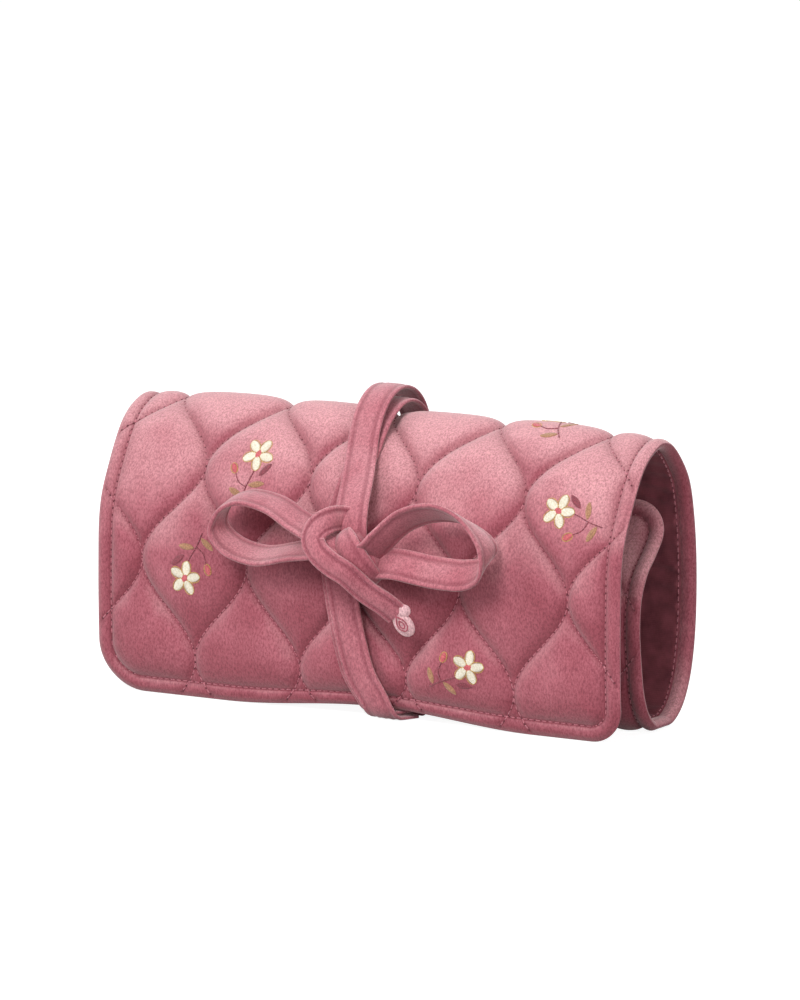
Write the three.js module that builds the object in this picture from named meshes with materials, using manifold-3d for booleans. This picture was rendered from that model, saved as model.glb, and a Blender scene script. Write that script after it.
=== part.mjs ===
// A quilted jewellery roll, rolled up and tied shut with a strap in a bow, standing on its long side.
// Millimetres, +X along the roll, +Y away from the viewer, +Z up.
// The padded sheet is one spiral in section: flap, top, back, bottom and inner flap.
import * as THREE from "three";
import { mergeVertices } from "three/addons/utils/BufferGeometryUtils.js";
import Module from "manifold-3d";

// Driving dimensions of the roll
const roll_length = 210;
const roll_depth = 58;
const roll_height = 103;
const quilt_thickness = 3.2;
const lining_thickness = 0.9;
const lining_inset = 1.2;
const layer_gap = 0.3;
const fold_gap = 0.3;
const left_corner_radius = 18;
const right_corner_radius = 12;

// Quilting: seams swing from side to side and meet in pairs, so that the cells between them are ogees
const seam_pitch = 42.8;
const seam_period = 69;
const seam_depth = 2.2;
const seam_meeting_width = 2.4;
const meeting_x = -1;
const meeting_distance = 48.3;
const puff_height = 4.6;
const puff_reach = 3.6;
const border_width = 5.5;
const border_height = 1.7;
const strap_channel_margin = 0.4;
const strap_channel_height = 12;

// The strap draws the bottom up a little where it passes underneath
const cinch_lift = 3.8;
const cinch_half_length = 62;
const cinch_height = 34;
const cinch_offset = 8;

// Strap and bow
const strap_width = 12;
const strap_thickness = 1.4;
const strap_edge_radius = 0.5;
const strap_gap = 0.3;
const strap_end_clearance = 2;
const top_arch = 6.2;
const patch_length = 14;
const patch_width = 17;
const patch_thickness = 0.8;
const knot_depth = 11;
const knot_core_length = 18;
const knot_core_height = 12;
const knot_clearance = 0.3;
const wrap_length = 11.6;
const wrap_depth = 6.7;
const tail_width = 7.6;
const tip_length = 10.7;
const tip_width = 6.6;
const tip_thickness = 3;

// Zips
const zip_length = 172;
const tape_width = 9;
const tape_thickness = 0.6;
const coil_width = 3.4;
const coil_thickness = 1.4;
const coil_slit = 0.6;
const slider_length = 9;
const slider_width = 7;
const slider_thickness = 1.3;
const slider_clearance = 0.3;
const slider_lug = 2;
const slider_rim = 0.3;
const slider_end_clearance = 0.5;
const stop_length = 2.4;
const stop_height = 1.9;
const pull_length = 10.5;
const pull_width = 5;
const pull_thickness = 1.1;
const pull_hole = 2.4;
const pull_rim = 1.2;
const pocket_thickness = 0.7;
const pocket_side_margin = 9;
const flap_pocket_depth = 36;
const inner_pocket_depth = 26;

// Ring bar
const bar_left_margin = 18;
const bar_right_margin = 50;
const bar_diameter = 13;
const anchor_length = 12;
const anchor_width = 16;
const anchor_thickness = 1.2;
const tab_length = 13;
const tab_width = 11;
const tab_thickness = 1.4;
const stud_cap_radius = 5.2;
const stud_cap_height = 1.8;
const stud_post_radius = 1.8;
const stud_base_radius = 4.6;
const stud_base_height = 0.9;
const stud_play = 0.3;

// How far a cut runs past the faces that it goes through
const cut_overrun = 1;

// How finely the curved pieces are faceted
const across_step = 17.5;
const sheet_rows_in_period = 10;
const pocket_rows_in_period = 20;
const cell_column_shares = [0, 0.17, 0.83];
const strap_step = 5;
const round_segments = 20;
const corner_steps = 4;
const shortest_step = 1.3;
const count_tolerance_share = 1e-6;
const weld_distance = 1e-4;

// Outer face of the rolled sheet in section: depth and height as shares of the roll's
const section_shares = [
  [0.034, 0],
  [0.01, 0.117],
  [0, 0.282],
  [0, 0.437],
  [0.012, 0.592],
  [0.047, 0.68],
  [0.128, 0.777],
  [0.209, 0.858],
  [0.29, 0.92],
  [0.405, 0.969],
  [0.545, 0.994],
  [0.672, 0.976],
  [0.793, 0.918],
  [0.897, 0.835],
  [0.959, 0.709],
  [0.993, 0.515],
  [0.974, 0.282],
  [0.907, 0.136],
  [0.802, 0.044],
  [0.672, 0],
  [0.578, 0],
  [0.483, 0],
  [0.371, 0.044],
  [0.293, 0.126],
  [0.25, 0.252],
  [0.231, 0.369],
  [0.252, 0.476],
  [0.328, 0.563],
  [0.431, 0.621],
  [0.517, 0.68],
  [0.569, 0.777],
];
// Where the sheet folds, and where things are sewn to it, as shares of the way along the section
const flap_fold_share = 0.284;
const top_fold_share = 0.405;
const back_fold_share = 0.671;
const inner_flap_fold_share = 0.752;
const flap_zip_share = 0.196;
const inner_zip_share = 0.875;
const bar_share = 0.588;
const knot_share = 0.178;
const hem_share = 0.012;
// Both ends of the flat stretch that the roll rests on
const rest_shares = [0.703, 0.731];

// Profile of the ring bar: shares of its length and of its radius
const bar_profile_shares = [
  [0, 0.59],
  [0.02, 0.75],
  [0.06, 1],
  [0.5, 1],
  [0.94, 1],
  [0.98, 0.75],
  [1, 0.59],
];

// Where the strap lies along the roll, as shares of the roll's length from its middle
const outer_strap_shares = { top: -0.016, knot_upper: 0.034, knot_lower: -0.028, hem: 0.048, back: 0.03 };
const inner_strap_shares = { top: -0.014, knot_upper: -0.02, knot_lower: -0.04, hem: 0.041, back: 0.04 };
// Bow loops and tail: length, depth and height as shares of the roll's.
// A loop's last value is how much its width leans upwards as it goes back.
const knot_length_share = 0.043;
const left_loop_shares = [
  [0.005, -0.24, 0.62, 0.45],
  [-0.064, -0.207, 0.67, 0.45],
  [-0.123, -0.164, 0.717, 0.35],
  [-0.184, -0.147, 0.727, 0.26],
  [-0.219, -0.147, 0.689, 0.26],
  [-0.232, -0.147, 0.62, 0.3],
  [-0.208, -0.147, 0.565, 0.45],
  [-0.154, -0.147, 0.536, 0.47],
  [-0.07, -0.19, 0.57, 0.47],
  [0.0, -0.225, 0.59, 0.47],
];
const right_loop_shares = [
  [0.07, -0.216, 0.59, -1],
  [0.09, -0.207, 0.633, -1],
  [0.13, -0.172, 0.707, -0.85],
  [0.185, -0.155, 0.741, -0.75],
  [0.24, -0.147, 0.718, -0.4],
  [0.282, -0.147, 0.636, 0.1],
  [0.271, -0.147, 0.568, 0.8],
  [0.241, -0.147, 0.541, 1.4],
  [0.185, -0.155, 0.54, 1.4],
  [0.114, -0.19, 0.56, 1.2],
  [0.071, -0.207, 0.568, 1],
];
const tail_shares = [
  [0.004, -0.12, 0.683],
  [-0.018, -0.276, 0.673],
  [-0.021, -0.319, 0.624],
  [-0.015, -0.336, 0.593],
  [0.007, -0.341, 0.559],
  [0.036, -0.319, 0.498],
  [0.065, -0.241, 0.442],
  [0.083, -0.164, 0.399],
  [0.106, -0.103, 0.363],
];
const wrap_tilt_share = 0.24;
// How steeply the padding may rise from a fold, so that the fold can open
const fold_rise_share = 0.7;

// Colours of the materials
const velvet = { color: 0xbe7382, roughness: 0.85, metalness: 0 };
const lining_cloth = { color: 0x7a3d47, roughness: 0.8, metalness: 0 };
const strap_velvet = { color: 0xcd828c, roughness: 0.85, metalness: 0 };
const tape_cloth = { color: 0x8f4a56, roughness: 0.8, metalness: 0 };
const coil_plastic = { color: 0xa86672, roughness: 0.5, metalness: 0 };
const gilt = { color: 0xd0a860, roughness: 0.3, metalness: 1 };

const wasm = await Module();
wasm.setup();

// Points of the section

const section = new THREE.CatmullRomCurve3(
  section_shares.map(([y, z]) => new THREE.Vector3(0, y * roll_depth, z * roll_height)),
  false,
  "centripetal",
);
section.arcLengthDivisions = 1200;
const sheet_length = section.getLength();
const sheet_thickness = quilt_thickness + layer_gap + lining_thickness;

// A unit vector along the section, towards the inner end
function alongAt(share) {
  return section.getTangentAt(share);
}

// A unit vector from the outer face into the sheet
function inwardAt(share) {
  const along = alongAt(share);
  return new THREE.Vector3(0, along.z, -along.y);
}

// A point at some depth below the outer face of the sheet, at x along the roll
function sheetPoint(share, depth, x) {
  const point = section.getPointAt(share);
  point.z = Math.max(point.z, 0);
  point.addScaledVector(inwardAt(share), depth);
  point.x = x;
  return point;
}

// The strap lifts the low parts of the roll near its middle
function cinch(point) {
  const reach = Math.abs(point.x - cinch_offset) / cinch_half_length;
  const low = 1 - Math.max(point.z, 0) / cinch_height;
  if (reach < 1 && low > 0) {
    point.z += cinch_lift * Math.cos((reach * Math.PI) / 2) ** 2 * Math.min(low, 1) ** 2;
  }
  return point;
}

// Solids

function signedVolume(positions, index) {
  const a = new THREE.Vector3();
  const b = new THREE.Vector3();
  const c = new THREE.Vector3();
  let sum = 0;
  for (let i = 0; i < index.length; i += 3) {
    a.fromArray(positions, index[i] * 3);
    b.fromArray(positions, index[i + 1] * 3);
    c.fromArray(positions, index[i + 2] * 3);
    sum += a.dot(b.cross(c));
  }
  return sum;
}

function geometryOf(positions, index) {
  if (signedVolume(positions, index) < 0) {
    index.reverse();
  }
  const geometry = new THREE.BufferGeometry();
  geometry.setAttribute("position", new THREE.Float32BufferAttribute(positions, 3));
  geometry.setIndex(index);
  geometry.computeVertexNormals();
  return geometry;
}

// A closed solid between two grids of points, face(0, row, column) and face(1, row, column)
function slab(rows, columns, face) {
  const positions = [];
  const index = [];
  const at = (side, row, column) => (side * (rows + 1) + row) * (columns + 1) + column;
  for (const side of [0, 1]) {
    for (let row = 0; row <= rows; row++) {
      for (let column = 0; column <= columns; column++) {
        positions.push(...face(side, row, column).toArray());
      }
    }
  }
  const quad = (a, b, c, d) => index.push(a, b, c, a, c, d);
  for (let row = 0; row < rows; row++) {
    for (let column = 0; column < columns; column++) {
      quad(at(0, row, column), at(0, row, column + 1), at(0, row + 1, column + 1), at(0, row + 1, column));
      quad(at(1, row, column), at(1, row + 1, column), at(1, row + 1, column + 1), at(1, row, column + 1));
    }
    quad(at(0, row, 0), at(0, row + 1, 0), at(1, row + 1, 0), at(1, row, 0));
    quad(at(0, row + 1, columns), at(0, row, columns), at(1, row, columns), at(1, row + 1, columns));
  }
  for (let column = 0; column < columns; column++) {
    quad(at(0, 0, column + 1), at(0, 0, column), at(1, 0, column), at(1, 0, column + 1));
    quad(at(0, rows, column), at(0, rows, column + 1), at(1, rows, column + 1), at(1, rows, column));
  }
  return geometryOf(positions, index);
}

// A solid through rings of points, closed round on itself or capped at both ends
function loft(rings, isRing) {
  const sides = rings[0].length;
  const positions = rings.flatMap((ring) => ring.flatMap((point) => point.toArray()));
  const index = [];
  const spans = isRing ? rings.length : rings.length - 1;
  for (let i = 0; i < spans; i++) {
    const next = (i + 1) % rings.length;
    for (let k = 0; k < sides; k++) {
      const turn = (k + 1) % sides;
      index.push(i * sides + k, i * sides + turn, next * sides + turn);
      index.push(i * sides + k, next * sides + turn, next * sides + k);
    }
  }
  if (!isRing) {
    const last = (rings.length - 1) * sides;
    for (let k = 1; k < sides - 1; k++) {
      index.push(0, k + 1, k);
      index.push(last, last + k, last + k + 1);
    }
  }
  return geometryOf(positions, index);
}

function toSolid(geometry) {
  const bare = geometry.clone();
  for (const name of Object.keys(bare.attributes)) {
    if (name !== "position") {
      bare.deleteAttribute(name);
    }
  }
  const merged = mergeVertices(bare, weld_distance);
  return new wasm.Manifold(
    new wasm.Mesh({
      numProp: 3,
      vertProperties: new Float32Array(merged.attributes.position.array),
      triVerts: new Uint32Array(merged.index.array),
    }),
  );
}

function toGeometry(solid) {
  const mesh = solid.getMesh();
  const geometry = new THREE.BufferGeometry();
  geometry.setAttribute("position", new THREE.BufferAttribute(mesh.vertProperties, 3));
  geometry.setIndex(new THREE.BufferAttribute(mesh.triVerts, 1));
  geometry.computeVertexNormals();
  return geometry;
}

// The scene graph: each body of the roll is a group whose origin lies on its fold

const root = new THREE.Group();

function bodyGroup(parent, name, point) {
  const group = new THREE.Group();
  group.name = name;
  parent.updateWorldMatrix(true, false);
  group.position.copy(parent.worldToLocal(point.clone()));
  parent.add(group);
  group.updateWorldMatrix(true, false);
  return group;
}

function add(group, name, geometry, finish) {
  const mesh = new THREE.Mesh(geometry, new THREE.MeshStandardMaterial(finish));
  mesh.name = name;
  group.attach(mesh);
  return mesh;
}

const bottom = root;
const back = bodyGroup(bottom, "back_fold", sheetPoint(back_fold_share, 0, 0));
const top = bodyGroup(back, "top_fold", sheetPoint(top_fold_share, 0, 0));
const flap = bodyGroup(top, "flap_fold", sheetPoint(flap_fold_share, 0, 0));
const inner_flap = bodyGroup(bottom, "inner_flap_fold", sheetPoint(inner_flap_fold_share, 0, 0));

// The padded sheet

// Evenly spaced values from one end to the other, no further apart than a step
function spread(from, to, step) {
  const count = Math.max(1, Math.ceil(Math.abs(to - from) / step - count_tolerance_share));
  return Array.from({ length: count + 1 }, (_, i) => from + ((to - from) * i) / count);
}

// Distances from a free end at which a rounded corner is faceted
function cornerStops(radius) {
  return Array.from({ length: corner_steps + 1 }, (_, i) => {
    return radius * (1 - Math.cos((i / corner_steps) * (Math.PI / 2)));
  });
}

// How far a rounded corner draws the side in, at a distance from the free end
function drawnIn(radius, distance) {
  const short = Math.max(radius - distance, 0);
  return radius - Math.sqrt(Math.max(radius * radius - short * short, 0));
}

// How far a place on the flat sheet lies inside its outline
function edgeDistance(x, distance) {
  const radius = x < 0 ? left_corner_radius : right_corner_radius;
  const side = roll_length / 2 - Math.abs(x);
  const end = Math.min(distance, sheet_length - distance);
  if (side < radius && end < radius) {
    return radius - Math.hypot(radius - side, radius - end);
  }
  return Math.min(side, end);
}

const seam_swing = seam_pitch / 4 - seam_meeting_width / 2;
const seam_turn = (2 * Math.PI) / seam_period;

// Where seam number k crosses the line at a distance along the sheet
function seamX(k, distance) {
  const side = k % 2 === 0 ? 1 : -1;
  const swing = side * seam_swing * Math.cos(seam_turn * (distance - meeting_distance));
  return meeting_x - seam_pitch / 4 + (k * seam_pitch) / 2 + swing;
}

const quilted_half = roll_length / 2 - border_width;
const seam_offset = meeting_x - seam_pitch / 4;
const first_seam = Math.ceil((-quilted_half - seam_swing - seam_offset) / (seam_pitch / 2));
const last_seam = Math.floor((quilted_half + seam_swing - seam_offset) / (seam_pitch / 2));
const seam_numbers = Array.from({ length: last_seam - first_seam + 1 }, (_, i) => first_seam + i);

// The columns of a quilted row: its rims and borders, the seams, and the padding between them.
// Each has the distances to the seams on its two sides.
function quiltColumns(distance, low, high) {
  const end = Math.max(Math.min(distance, sheet_length - distance) - border_width, 0);
  const left_side = drawnIn(left_corner_radius - border_width, end) - roll_length / 2 + border_width;
  const right_side = roll_length / 2 - border_width - drawnIn(right_corner_radius - border_width, end);
  const left = Math.max(left_side, low + border_width);
  const right = Math.min(right_side, high - border_width);
  const lines = [left, ...seam_numbers.map((k) => seamX(k, distance)), right];
  for (let i = 1; i < lines.length; i++) {
    lines[i] = Math.max(lines[i], lines[i - 1] + seam_meeting_width);
  }
  lines[lines.length - 1] = right;
  for (let i = lines.length - 2; i > 0; i--) {
    lines[i] = Math.min(lines[i], lines[i + 1] - seam_meeting_width);
  }
  const columns = [{ x: low, near: 0 }, { x: (low + left) / 2, near: 0 }];
  for (let i = 0; i < lines.length - 1; i++) {
    for (const share of cell_column_shares) {
      const width = lines[i + 1] - lines[i];
      columns.push({ x: lines[i] + share * width, near: share * (1 - share) * width });
    }
  }
  columns.push({ x: right, near: 0 }, { x: (right + high) / 2, near: 0 }, { x: high, near: 0 });
  return columns;
}

// Depth of the quilted face: padding between the seams, and a rolled border round the sheet
function quiltDepth({ x, near }, distance, fold_distance) {
  const edge = edgeDistance(x, distance);
  if (edge < border_width) {
    const across = Math.max(edge, 0) / border_width;
    return seam_depth - border_height * Math.sin(Math.PI * across);
  }
  const slope = seam_swing * seam_turn * Math.sin(seam_turn * (distance - meeting_distance));
  const beside = near / Math.hypot(1, slope);
  const inside = edge - border_width;
  const reach = beside > 0 ? (beside * inside) / (beside + inside) : 0;
  const depth = seam_depth - puff_height * (1 - Math.exp(-reach / puff_reach));
  return Math.max(depth, -fold_rise_share * fold_distance);
}

// Rows of a layer: at its ends, at the ends of the flat that the roll rests on, and between them at
// distances along the sheet that all layers share
function layerRows(first, last, rows_in_period) {
  const step = seam_period / rows_in_period;
  const isInside = (stop) => stop > first + shortest_step && stop < last - shortest_step;
  const rests = rest_shares.map((share) => share * sheet_length).filter(isInside);
  const rows = [first, last, ...rests];
  const lowest = Math.ceil((first - meeting_distance) / step);
  for (let i = lowest; meeting_distance + i * step < last; i++) {
    const stop = meeting_distance + i * step;
    if (isInside(stop) && rests.every((rest) => Math.abs(stop - rest) >= shortest_step)) {
      rows.push(stop);
    }
  }
  return rows.sort((a, b) => a - b);
}

// A layer of the sheet between two places along it and two depths below its outer face.
// free_end says which of the two places is a free end with rounded corners.
function layer({ from, to, upper, lower, inset = 0, margin = 0, free_end = null, quilted = false }) {
  const start = from * sheet_length;
  const end = to * sheet_length;
  const radii = [Math.max(left_corner_radius - inset, 0), Math.max(right_corner_radius - inset, 0)];
  const first = free_end === "from" ? start + inset : start;
  const last = free_end === "to" ? end - inset : end;
  let stops = layerRows(first, last, margin > 0 ? pocket_rows_in_period : sheet_rows_in_period);
  if (free_end) {
    const widest = Math.max(...radii);
    const border = quilted ? [border_width / 2, border_width] : [];
    const apart = (d) => border.every((b) => Math.abs(b - d) >= shortest_step);
    const corner = [...cornerStops(widest).filter(apart), ...border].sort((a, b) => a - b);
    const clear = widest + shortest_step;
    stops =
      free_end === "from"
        ? [...corner.map((d) => first + d), ...stops.filter((s) => s > first + clear)]
        : [...stops.filter((s) => s < last - clear), ...corner.reverse().map((d) => last - d)];
  }
  const half = roll_length / 2 - inset - margin;
  const sideAt = (stop, radius) => {
    if (!free_end || margin > 0) {
      return half;
    }
    const distance = free_end === "from" ? stop - first : last - stop;
    return half - drawnIn(radius, distance);
  };
  const plain_columns = Math.ceil((2 * half) / across_step - count_tolerance_share);
  const rows = stops.map((stop) => {
    const low = -sideAt(stop, radii[0]);
    const high = sideAt(stop, radii[1]);
    if (quilted) {
      return quiltColumns(stop, low, high);
    }
    return Array.from({ length: plain_columns + 1 }, (_, i) => {
      return { x: low + ((high - low) * i) / plain_columns };
    });
  });
  const folds = [free_end === "from" ? -Infinity : first, free_end === "to" ? Infinity : last];
  return slab(stops.length - 1, rows[0].length - 1, (side, row, column) => {
    const stop = stops[row];
    const place = rows[row][column];
    const share = Math.min(stop / sheet_length, 1);
    const fold_distance = Math.min(stop - folds[0], folds[1] - stop);
    const face = quilted ? quiltDepth(place, stop, fold_distance) : upper;
    return cinch(sheetPoint(share, side === 0 ? face : lower, place.x));
  });
}

// Strap on the sheet

const strap_levels = { inner: strap_gap + strap_thickness / 2 };
strap_levels.outer = strap_levels.inner + strap_gap + strap_thickness;
const across = new THREE.Vector3(1, 0, 0);

// The strap's section with eased edges, wide along one direction and thick along another
function strapRing(centre, wide, thick, width = strap_width, thickness = strap_thickness) {
  const w = width / 2;
  const t = thickness / 2;
  const e = Math.min(strap_edge_radius, t);
  const corners = [
    [w - e, t],
    [w, t - e],
    [w, e - t],
    [w - e, -t],
    [e - w, -t],
    [-w, e - t],
    [-w, t - e],
    [e - w, t],
  ];
  return corners.map(([a, b]) => centre.clone().addScaledVector(wide, a).addScaledVector(thick, b));
}

// A run of strap on the outer face of the sheet, which may go on for some way past both its ends
function strapRun({ from, to, x_from, x_to, arch = 0 }, level, extra = 0, ...size) {
  const length = (to - from) * sheet_length;
  const rings = spread(-extra, length + extra, strap_step).map((stop) => {
    const way = stop / length;
    const share = Math.max(from + stop / sheet_length, 0);
    const rise = arch * Math.sin(Math.PI * way) ** 2;
    const centre = sheetPoint(share, -(level + rise), x_from + (x_to - x_from) * way);
    return strapRing(centre, across, inwardAt(share).negate(), ...size).map(cinch);
  });
  return loft(rings, false);
}

const end_share = strap_end_clearance / sheet_length;
const meet_share = strap_gap / 2 / sheet_length;
const strands = [["outer", outer_strap_shares], ["inner", inner_strap_shares]];
const strap_runs = strands.flatMap(([strand, shares]) => {
  const at = (name) => shares[name] * roll_length;
  const level = strap_levels[strand];
  const flap_top = flap_fold_share - end_share;
  const over_to = top_fold_share + end_share;
  return [
    {
      name: `tie_front_upper_${strand}`,
      zone: "flap",
      level,
      from: knot_share + meet_share,
      to: flap_top,
      x_from: at("knot_upper"),
      x_to: at("top"),
    },
    {
      name: `tie_front_lower_${strand}`,
      zone: "flap",
      level,
      from: hem_share,
      to: knot_share - meet_share,
      x_from: at("hem"),
      x_to: at("knot_lower"),
    },
    {
      name: `tie_top_${strand}`,
      zone: "top",
      level,
      from: flap_top + 2 * meet_share,
      to: over_to,
      x_from: at("top"),
      x_to: at("top"),
      arch: top_arch,
    },
    {
      name: `tie_back_${strand}`,
      zone: "back",
      level,
      from: over_to + 2 * meet_share,
      to: back_fold_share - end_share,
      x_from: at("top"),
      x_to: at("back"),
    },
  ];
});

// The strap presses the padding flat where it runs
function pressFlat(geometry, zone) {
  const size = [strap_width + 2 * strap_channel_margin, strap_channel_height];
  const extra = strap_end_clearance + strap_channel_margin;
  let solid = toSolid(geometry);
  for (const run of strap_runs.filter((one) => one.zone === zone)) {
    const flat_run = { ...run, arch: 0 };
    solid = solid.subtract(toSolid(strapRun(flat_run, strap_channel_height / 2, extra, ...size)));
  }
  return toGeometry(solid);
}

const half_gap_share = fold_gap / 2 / sheet_length;
const zones = [
  {
    name: "flap",
    group: flap,
    from: 0,
    to: flap_fold_share - half_gap_share,
    free_end: "from",
    quilted: true,
  },
  {
    name: "top",
    group: top,
    from: flap_fold_share + half_gap_share,
    to: top_fold_share - half_gap_share,
    quilted: true,
  },
  {
    name: "back",
    group: back,
    from: top_fold_share + half_gap_share,
    to: back_fold_share - half_gap_share,
    quilted: true,
  },
  {
    name: "bottom",
    group: bottom,
    from: back_fold_share + half_gap_share,
    to: inner_flap_fold_share - half_gap_share,
  },
  {
    name: "inner_flap",
    group: inner_flap,
    from: inner_flap_fold_share + half_gap_share,
    to: 1,
    free_end: "to",
  },
];
const lining_depth = quilt_thickness + layer_gap;
const zone_groups = Object.fromEntries(zones.map(({ name, group }) => [name, group]));
for (const { name, group, from, to, free_end, quilted } of zones) {
  const sheet = layer({ from, to, upper: 0, lower: quilt_thickness, free_end, quilted });
  add(group, `${name}_quilt`, quilted ? pressFlat(sheet, name) : sheet, velvet);
  const span = { from, to, upper: lining_depth, lower: sheet_thickness, inset: lining_inset, free_end };
  add(group, `${name}_lining`, layer(span), lining_cloth);
}

// Zip pockets

const pocket_face = sheet_thickness + layer_gap;

// A box in a frame that lies on the lining: x along the roll, y along the sheet, z into the roll
function seatedFrame(share, depth, x) {
  const along = alongAt(share);
  const inward = inwardAt(share);
  const basis = new THREE.Matrix4().makeBasis(new THREE.Vector3(1, 0, 0), along, inward);
  if (basis.determinant() < 0) {
    basis.makeBasis(new THREE.Vector3(-1, 0, 0), along, inward);
  }
  return basis.setPosition(sheetPoint(share, depth, x));
}

function seatedBox(frame, [length, width, height], [x, y, z]) {
  return new THREE.BoxGeometry(length, width, height).translate(x, y, z + height / 2).applyMatrix4(frame);
}

// A pocket closed by a zip: panel, two tapes, coil, two stops, slider and pull.
// open_side is +1 when the pocket lies towards the inner end of the sheet, and -1 otherwise.
function zipPocket(prefix, group, share, open_side, depth_of_pocket) {
  const tape_share = tape_width / sheet_length;
  const slit_share = coil_slit / 2 / sheet_length;
  const margin = (roll_length - zip_length) / 2 - stop_length;
  for (const [name, side] of [["lower", open_side], ["upper", -open_side]]) {
    const near = share + side * slit_share;
    const far = share + side * (slit_share + tape_share);
    const tape = layer({
      from: Math.min(near, far),
      to: Math.max(near, far),
      upper: pocket_face,
      lower: pocket_face + tape_thickness,
      margin,
    });
    add(group, `${prefix}_zip_tape_${name}`, tape, tape_cloth);
  }
  const panel_near = share + open_side * (slit_share + tape_share + layer_gap / sheet_length);
  const panel_far = panel_near + (open_side * depth_of_pocket) / sheet_length;
  const panel = layer({
    from: Math.min(panel_near, panel_far),
    to: Math.max(panel_near, panel_far),
    upper: pocket_face,
    lower: pocket_face + pocket_thickness,
    margin: pocket_side_margin,
  });
  add(group, `${prefix}_pocket_panel`, panel, lining_cloth);

  const coil_base = pocket_face + tape_thickness + layer_gap;
  const frame = seatedFrame(share, coil_base, 0);
  const coil_size = [zip_length, coil_width, coil_thickness];
  add(group, `${prefix}_zip_coil`, seatedBox(frame, coil_size, [0, 0, 0]), coil_plastic);
  const stop_centre = zip_length / 2 + layer_gap + stop_length / 2;
  for (const [name, side] of [["start", -1], ["end", 1]]) {
    const stop_size = [stop_length, coil_width + coil_slit, stop_height];
    const stop = seatedBox(frame, stop_size, [side * stop_centre, 0, 0]);
    add(group, `${prefix}_zip_${name}_stop`, stop, gilt);
  }

  // The slider rides over the coil on two side flanges
  const slider_x = zip_length / 2 - slider_length / 2 - slider_end_clearance;
  const rail = coil_thickness + slider_clearance;
  const flange = (slider_width - coil_width) / 2 - slider_clearance;
  const plate = toSolid(seatedBox(frame, [slider_length, slider_width, slider_thickness], [0, 0, rail]));
  const flange_size = [slider_length, flange, rail + slider_thickness / 2];
  const flange_y = slider_width / 2 - flange / 2;
  const lug_wall = (slider_width - pull_width) / 2 - slider_clearance;
  const lug_height = slider_thickness + slider_clearance + pull_thickness + slider_rim;
  const lug_size = [slider_lug + pull_thickness, lug_wall, lug_height];
  let slider = plate;
  for (const side of [-1, 1]) {
    slider = slider.add(toSolid(seatedBox(frame, flange_size, [0, side * flange_y, 0])));
    const lug_y = side * (slider_width / 2 - lug_wall / 2);
    slider = slider.add(toSolid(seatedBox(frame, lug_size, [0, lug_y, rail])));
  }
  const right = new THREE.Vector3(1, 0, 0);
  const direction = Math.sign(new THREE.Vector3(1, 0, 0).transformDirection(frame).dot(right));
  const slide_at = sheetPoint(share, coil_base, slider_x);
  const slider_group = bodyGroup(group, `${prefix}_zip_slide`, slide_at);
  const shift = new THREE.Matrix4().makeTranslation(slider_x, 0, 0);
  add(slider_group, `${prefix}_zip_slider`, toGeometry(slider).applyMatrix4(shift), gilt);

  // The pull hangs between the slider's lugs and lies back along the coil
  const pivot_height = rail + slider_thickness + slider_clearance + pull_thickness / 2;
  const pivot = new THREE.Vector3(0, 0, pivot_height).applyMatrix4(frame);
  pivot.x += slider_x;
  const pull_group = bodyGroup(slider_group, `${prefix}_zip_pull_swing`, pivot);
  const blade = toSolid(
    seatedBox(frame, [pull_length, pull_width, pull_thickness], [
      -direction * (pull_length / 2 - pull_thickness / 2),
      0,
      pivot_height - pull_thickness / 2,
    ]),
  );
  const window_x = -direction * (pull_length - pull_thickness / 2 - pull_rim - pull_hole / 2);
  const window_size = [pull_hole, pull_width - 2 * pull_rim, pull_thickness + 2 * cut_overrun];
  const window_base = pivot_height - pull_thickness / 2 - cut_overrun;
  const hole = toSolid(seatedBox(frame, window_size, [window_x, 0, window_base]));
  const pull = toGeometry(blade.subtract(hole)).applyMatrix4(shift);
  add(pull_group, `${prefix}_zip_pull`, pull, gilt);
}

zipPocket("flap", flap, flap_zip_share, -1, flap_pocket_depth);
zipPocket("inner_flap", inner_flap, inner_zip_share, -1, inner_pocket_depth);

// Ring bar on the back: a padded roll sewn at one end and snapped down at the other

const wall_depth = sheet_thickness + layer_gap;
const bar_frame = seatedFrame(bar_share, wall_depth, 0);
const bar_direction = Math.sign(new THREE.Vector3(1, 0, 0).transformDirection(bar_frame).x);
// The wall curves, so the flat anchor rests on it at its two long edges
const bar_frame_inverse = bar_frame.clone().invert();
const wall_rises = [-1, 1].map((side) => {
  const share = bar_share + (side * anchor_width) / 2 / sheet_length;
  return sheetPoint(share, wall_depth, 0).applyMatrix4(bar_frame_inverse).z;
});
const wall_sag = Math.max(...wall_rises);
const bar_height = anchor_thickness + layer_gap + bar_diameter / 2;
const bar_start = bar_left_margin - roll_length / 2;
const bar_end = roll_length / 2 - bar_right_margin;
const bar_length = bar_end - bar_start;

function barAt(x, y, z) {
  return new THREE.Vector3(bar_direction * x, y, z).applyMatrix4(bar_frame);
}

const bar_pivot = barAt(bar_start, 0, wall_sag + anchor_thickness + layer_gap);
const bar_group = bodyGroup(back, "ring_bar_lift", bar_pivot);

function seatedCylinder(radius, height, [x, y, z]) {
  return new THREE.CylinderGeometry(radius, radius, height, round_segments)
    .rotateX(Math.PI / 2)
    .translate(bar_direction * x, y, z + height / 2)
    .applyMatrix4(bar_frame);
}

const bar_rings = bar_profile_shares.map(([along_share, radius_share]) => {
  const x = bar_start + along_share * bar_length;
  const radius = (radius_share * bar_diameter) / 2;
  return Array.from({ length: round_segments }, (_, k) => {
    const angle = (k / round_segments) * 2 * Math.PI;
    return barAt(x, radius * Math.cos(angle), wall_sag + bar_height + radius * Math.sin(angle));
  });
});
add(bar_group, "ring_bar", loft(bar_rings, false), strap_velvet);

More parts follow.
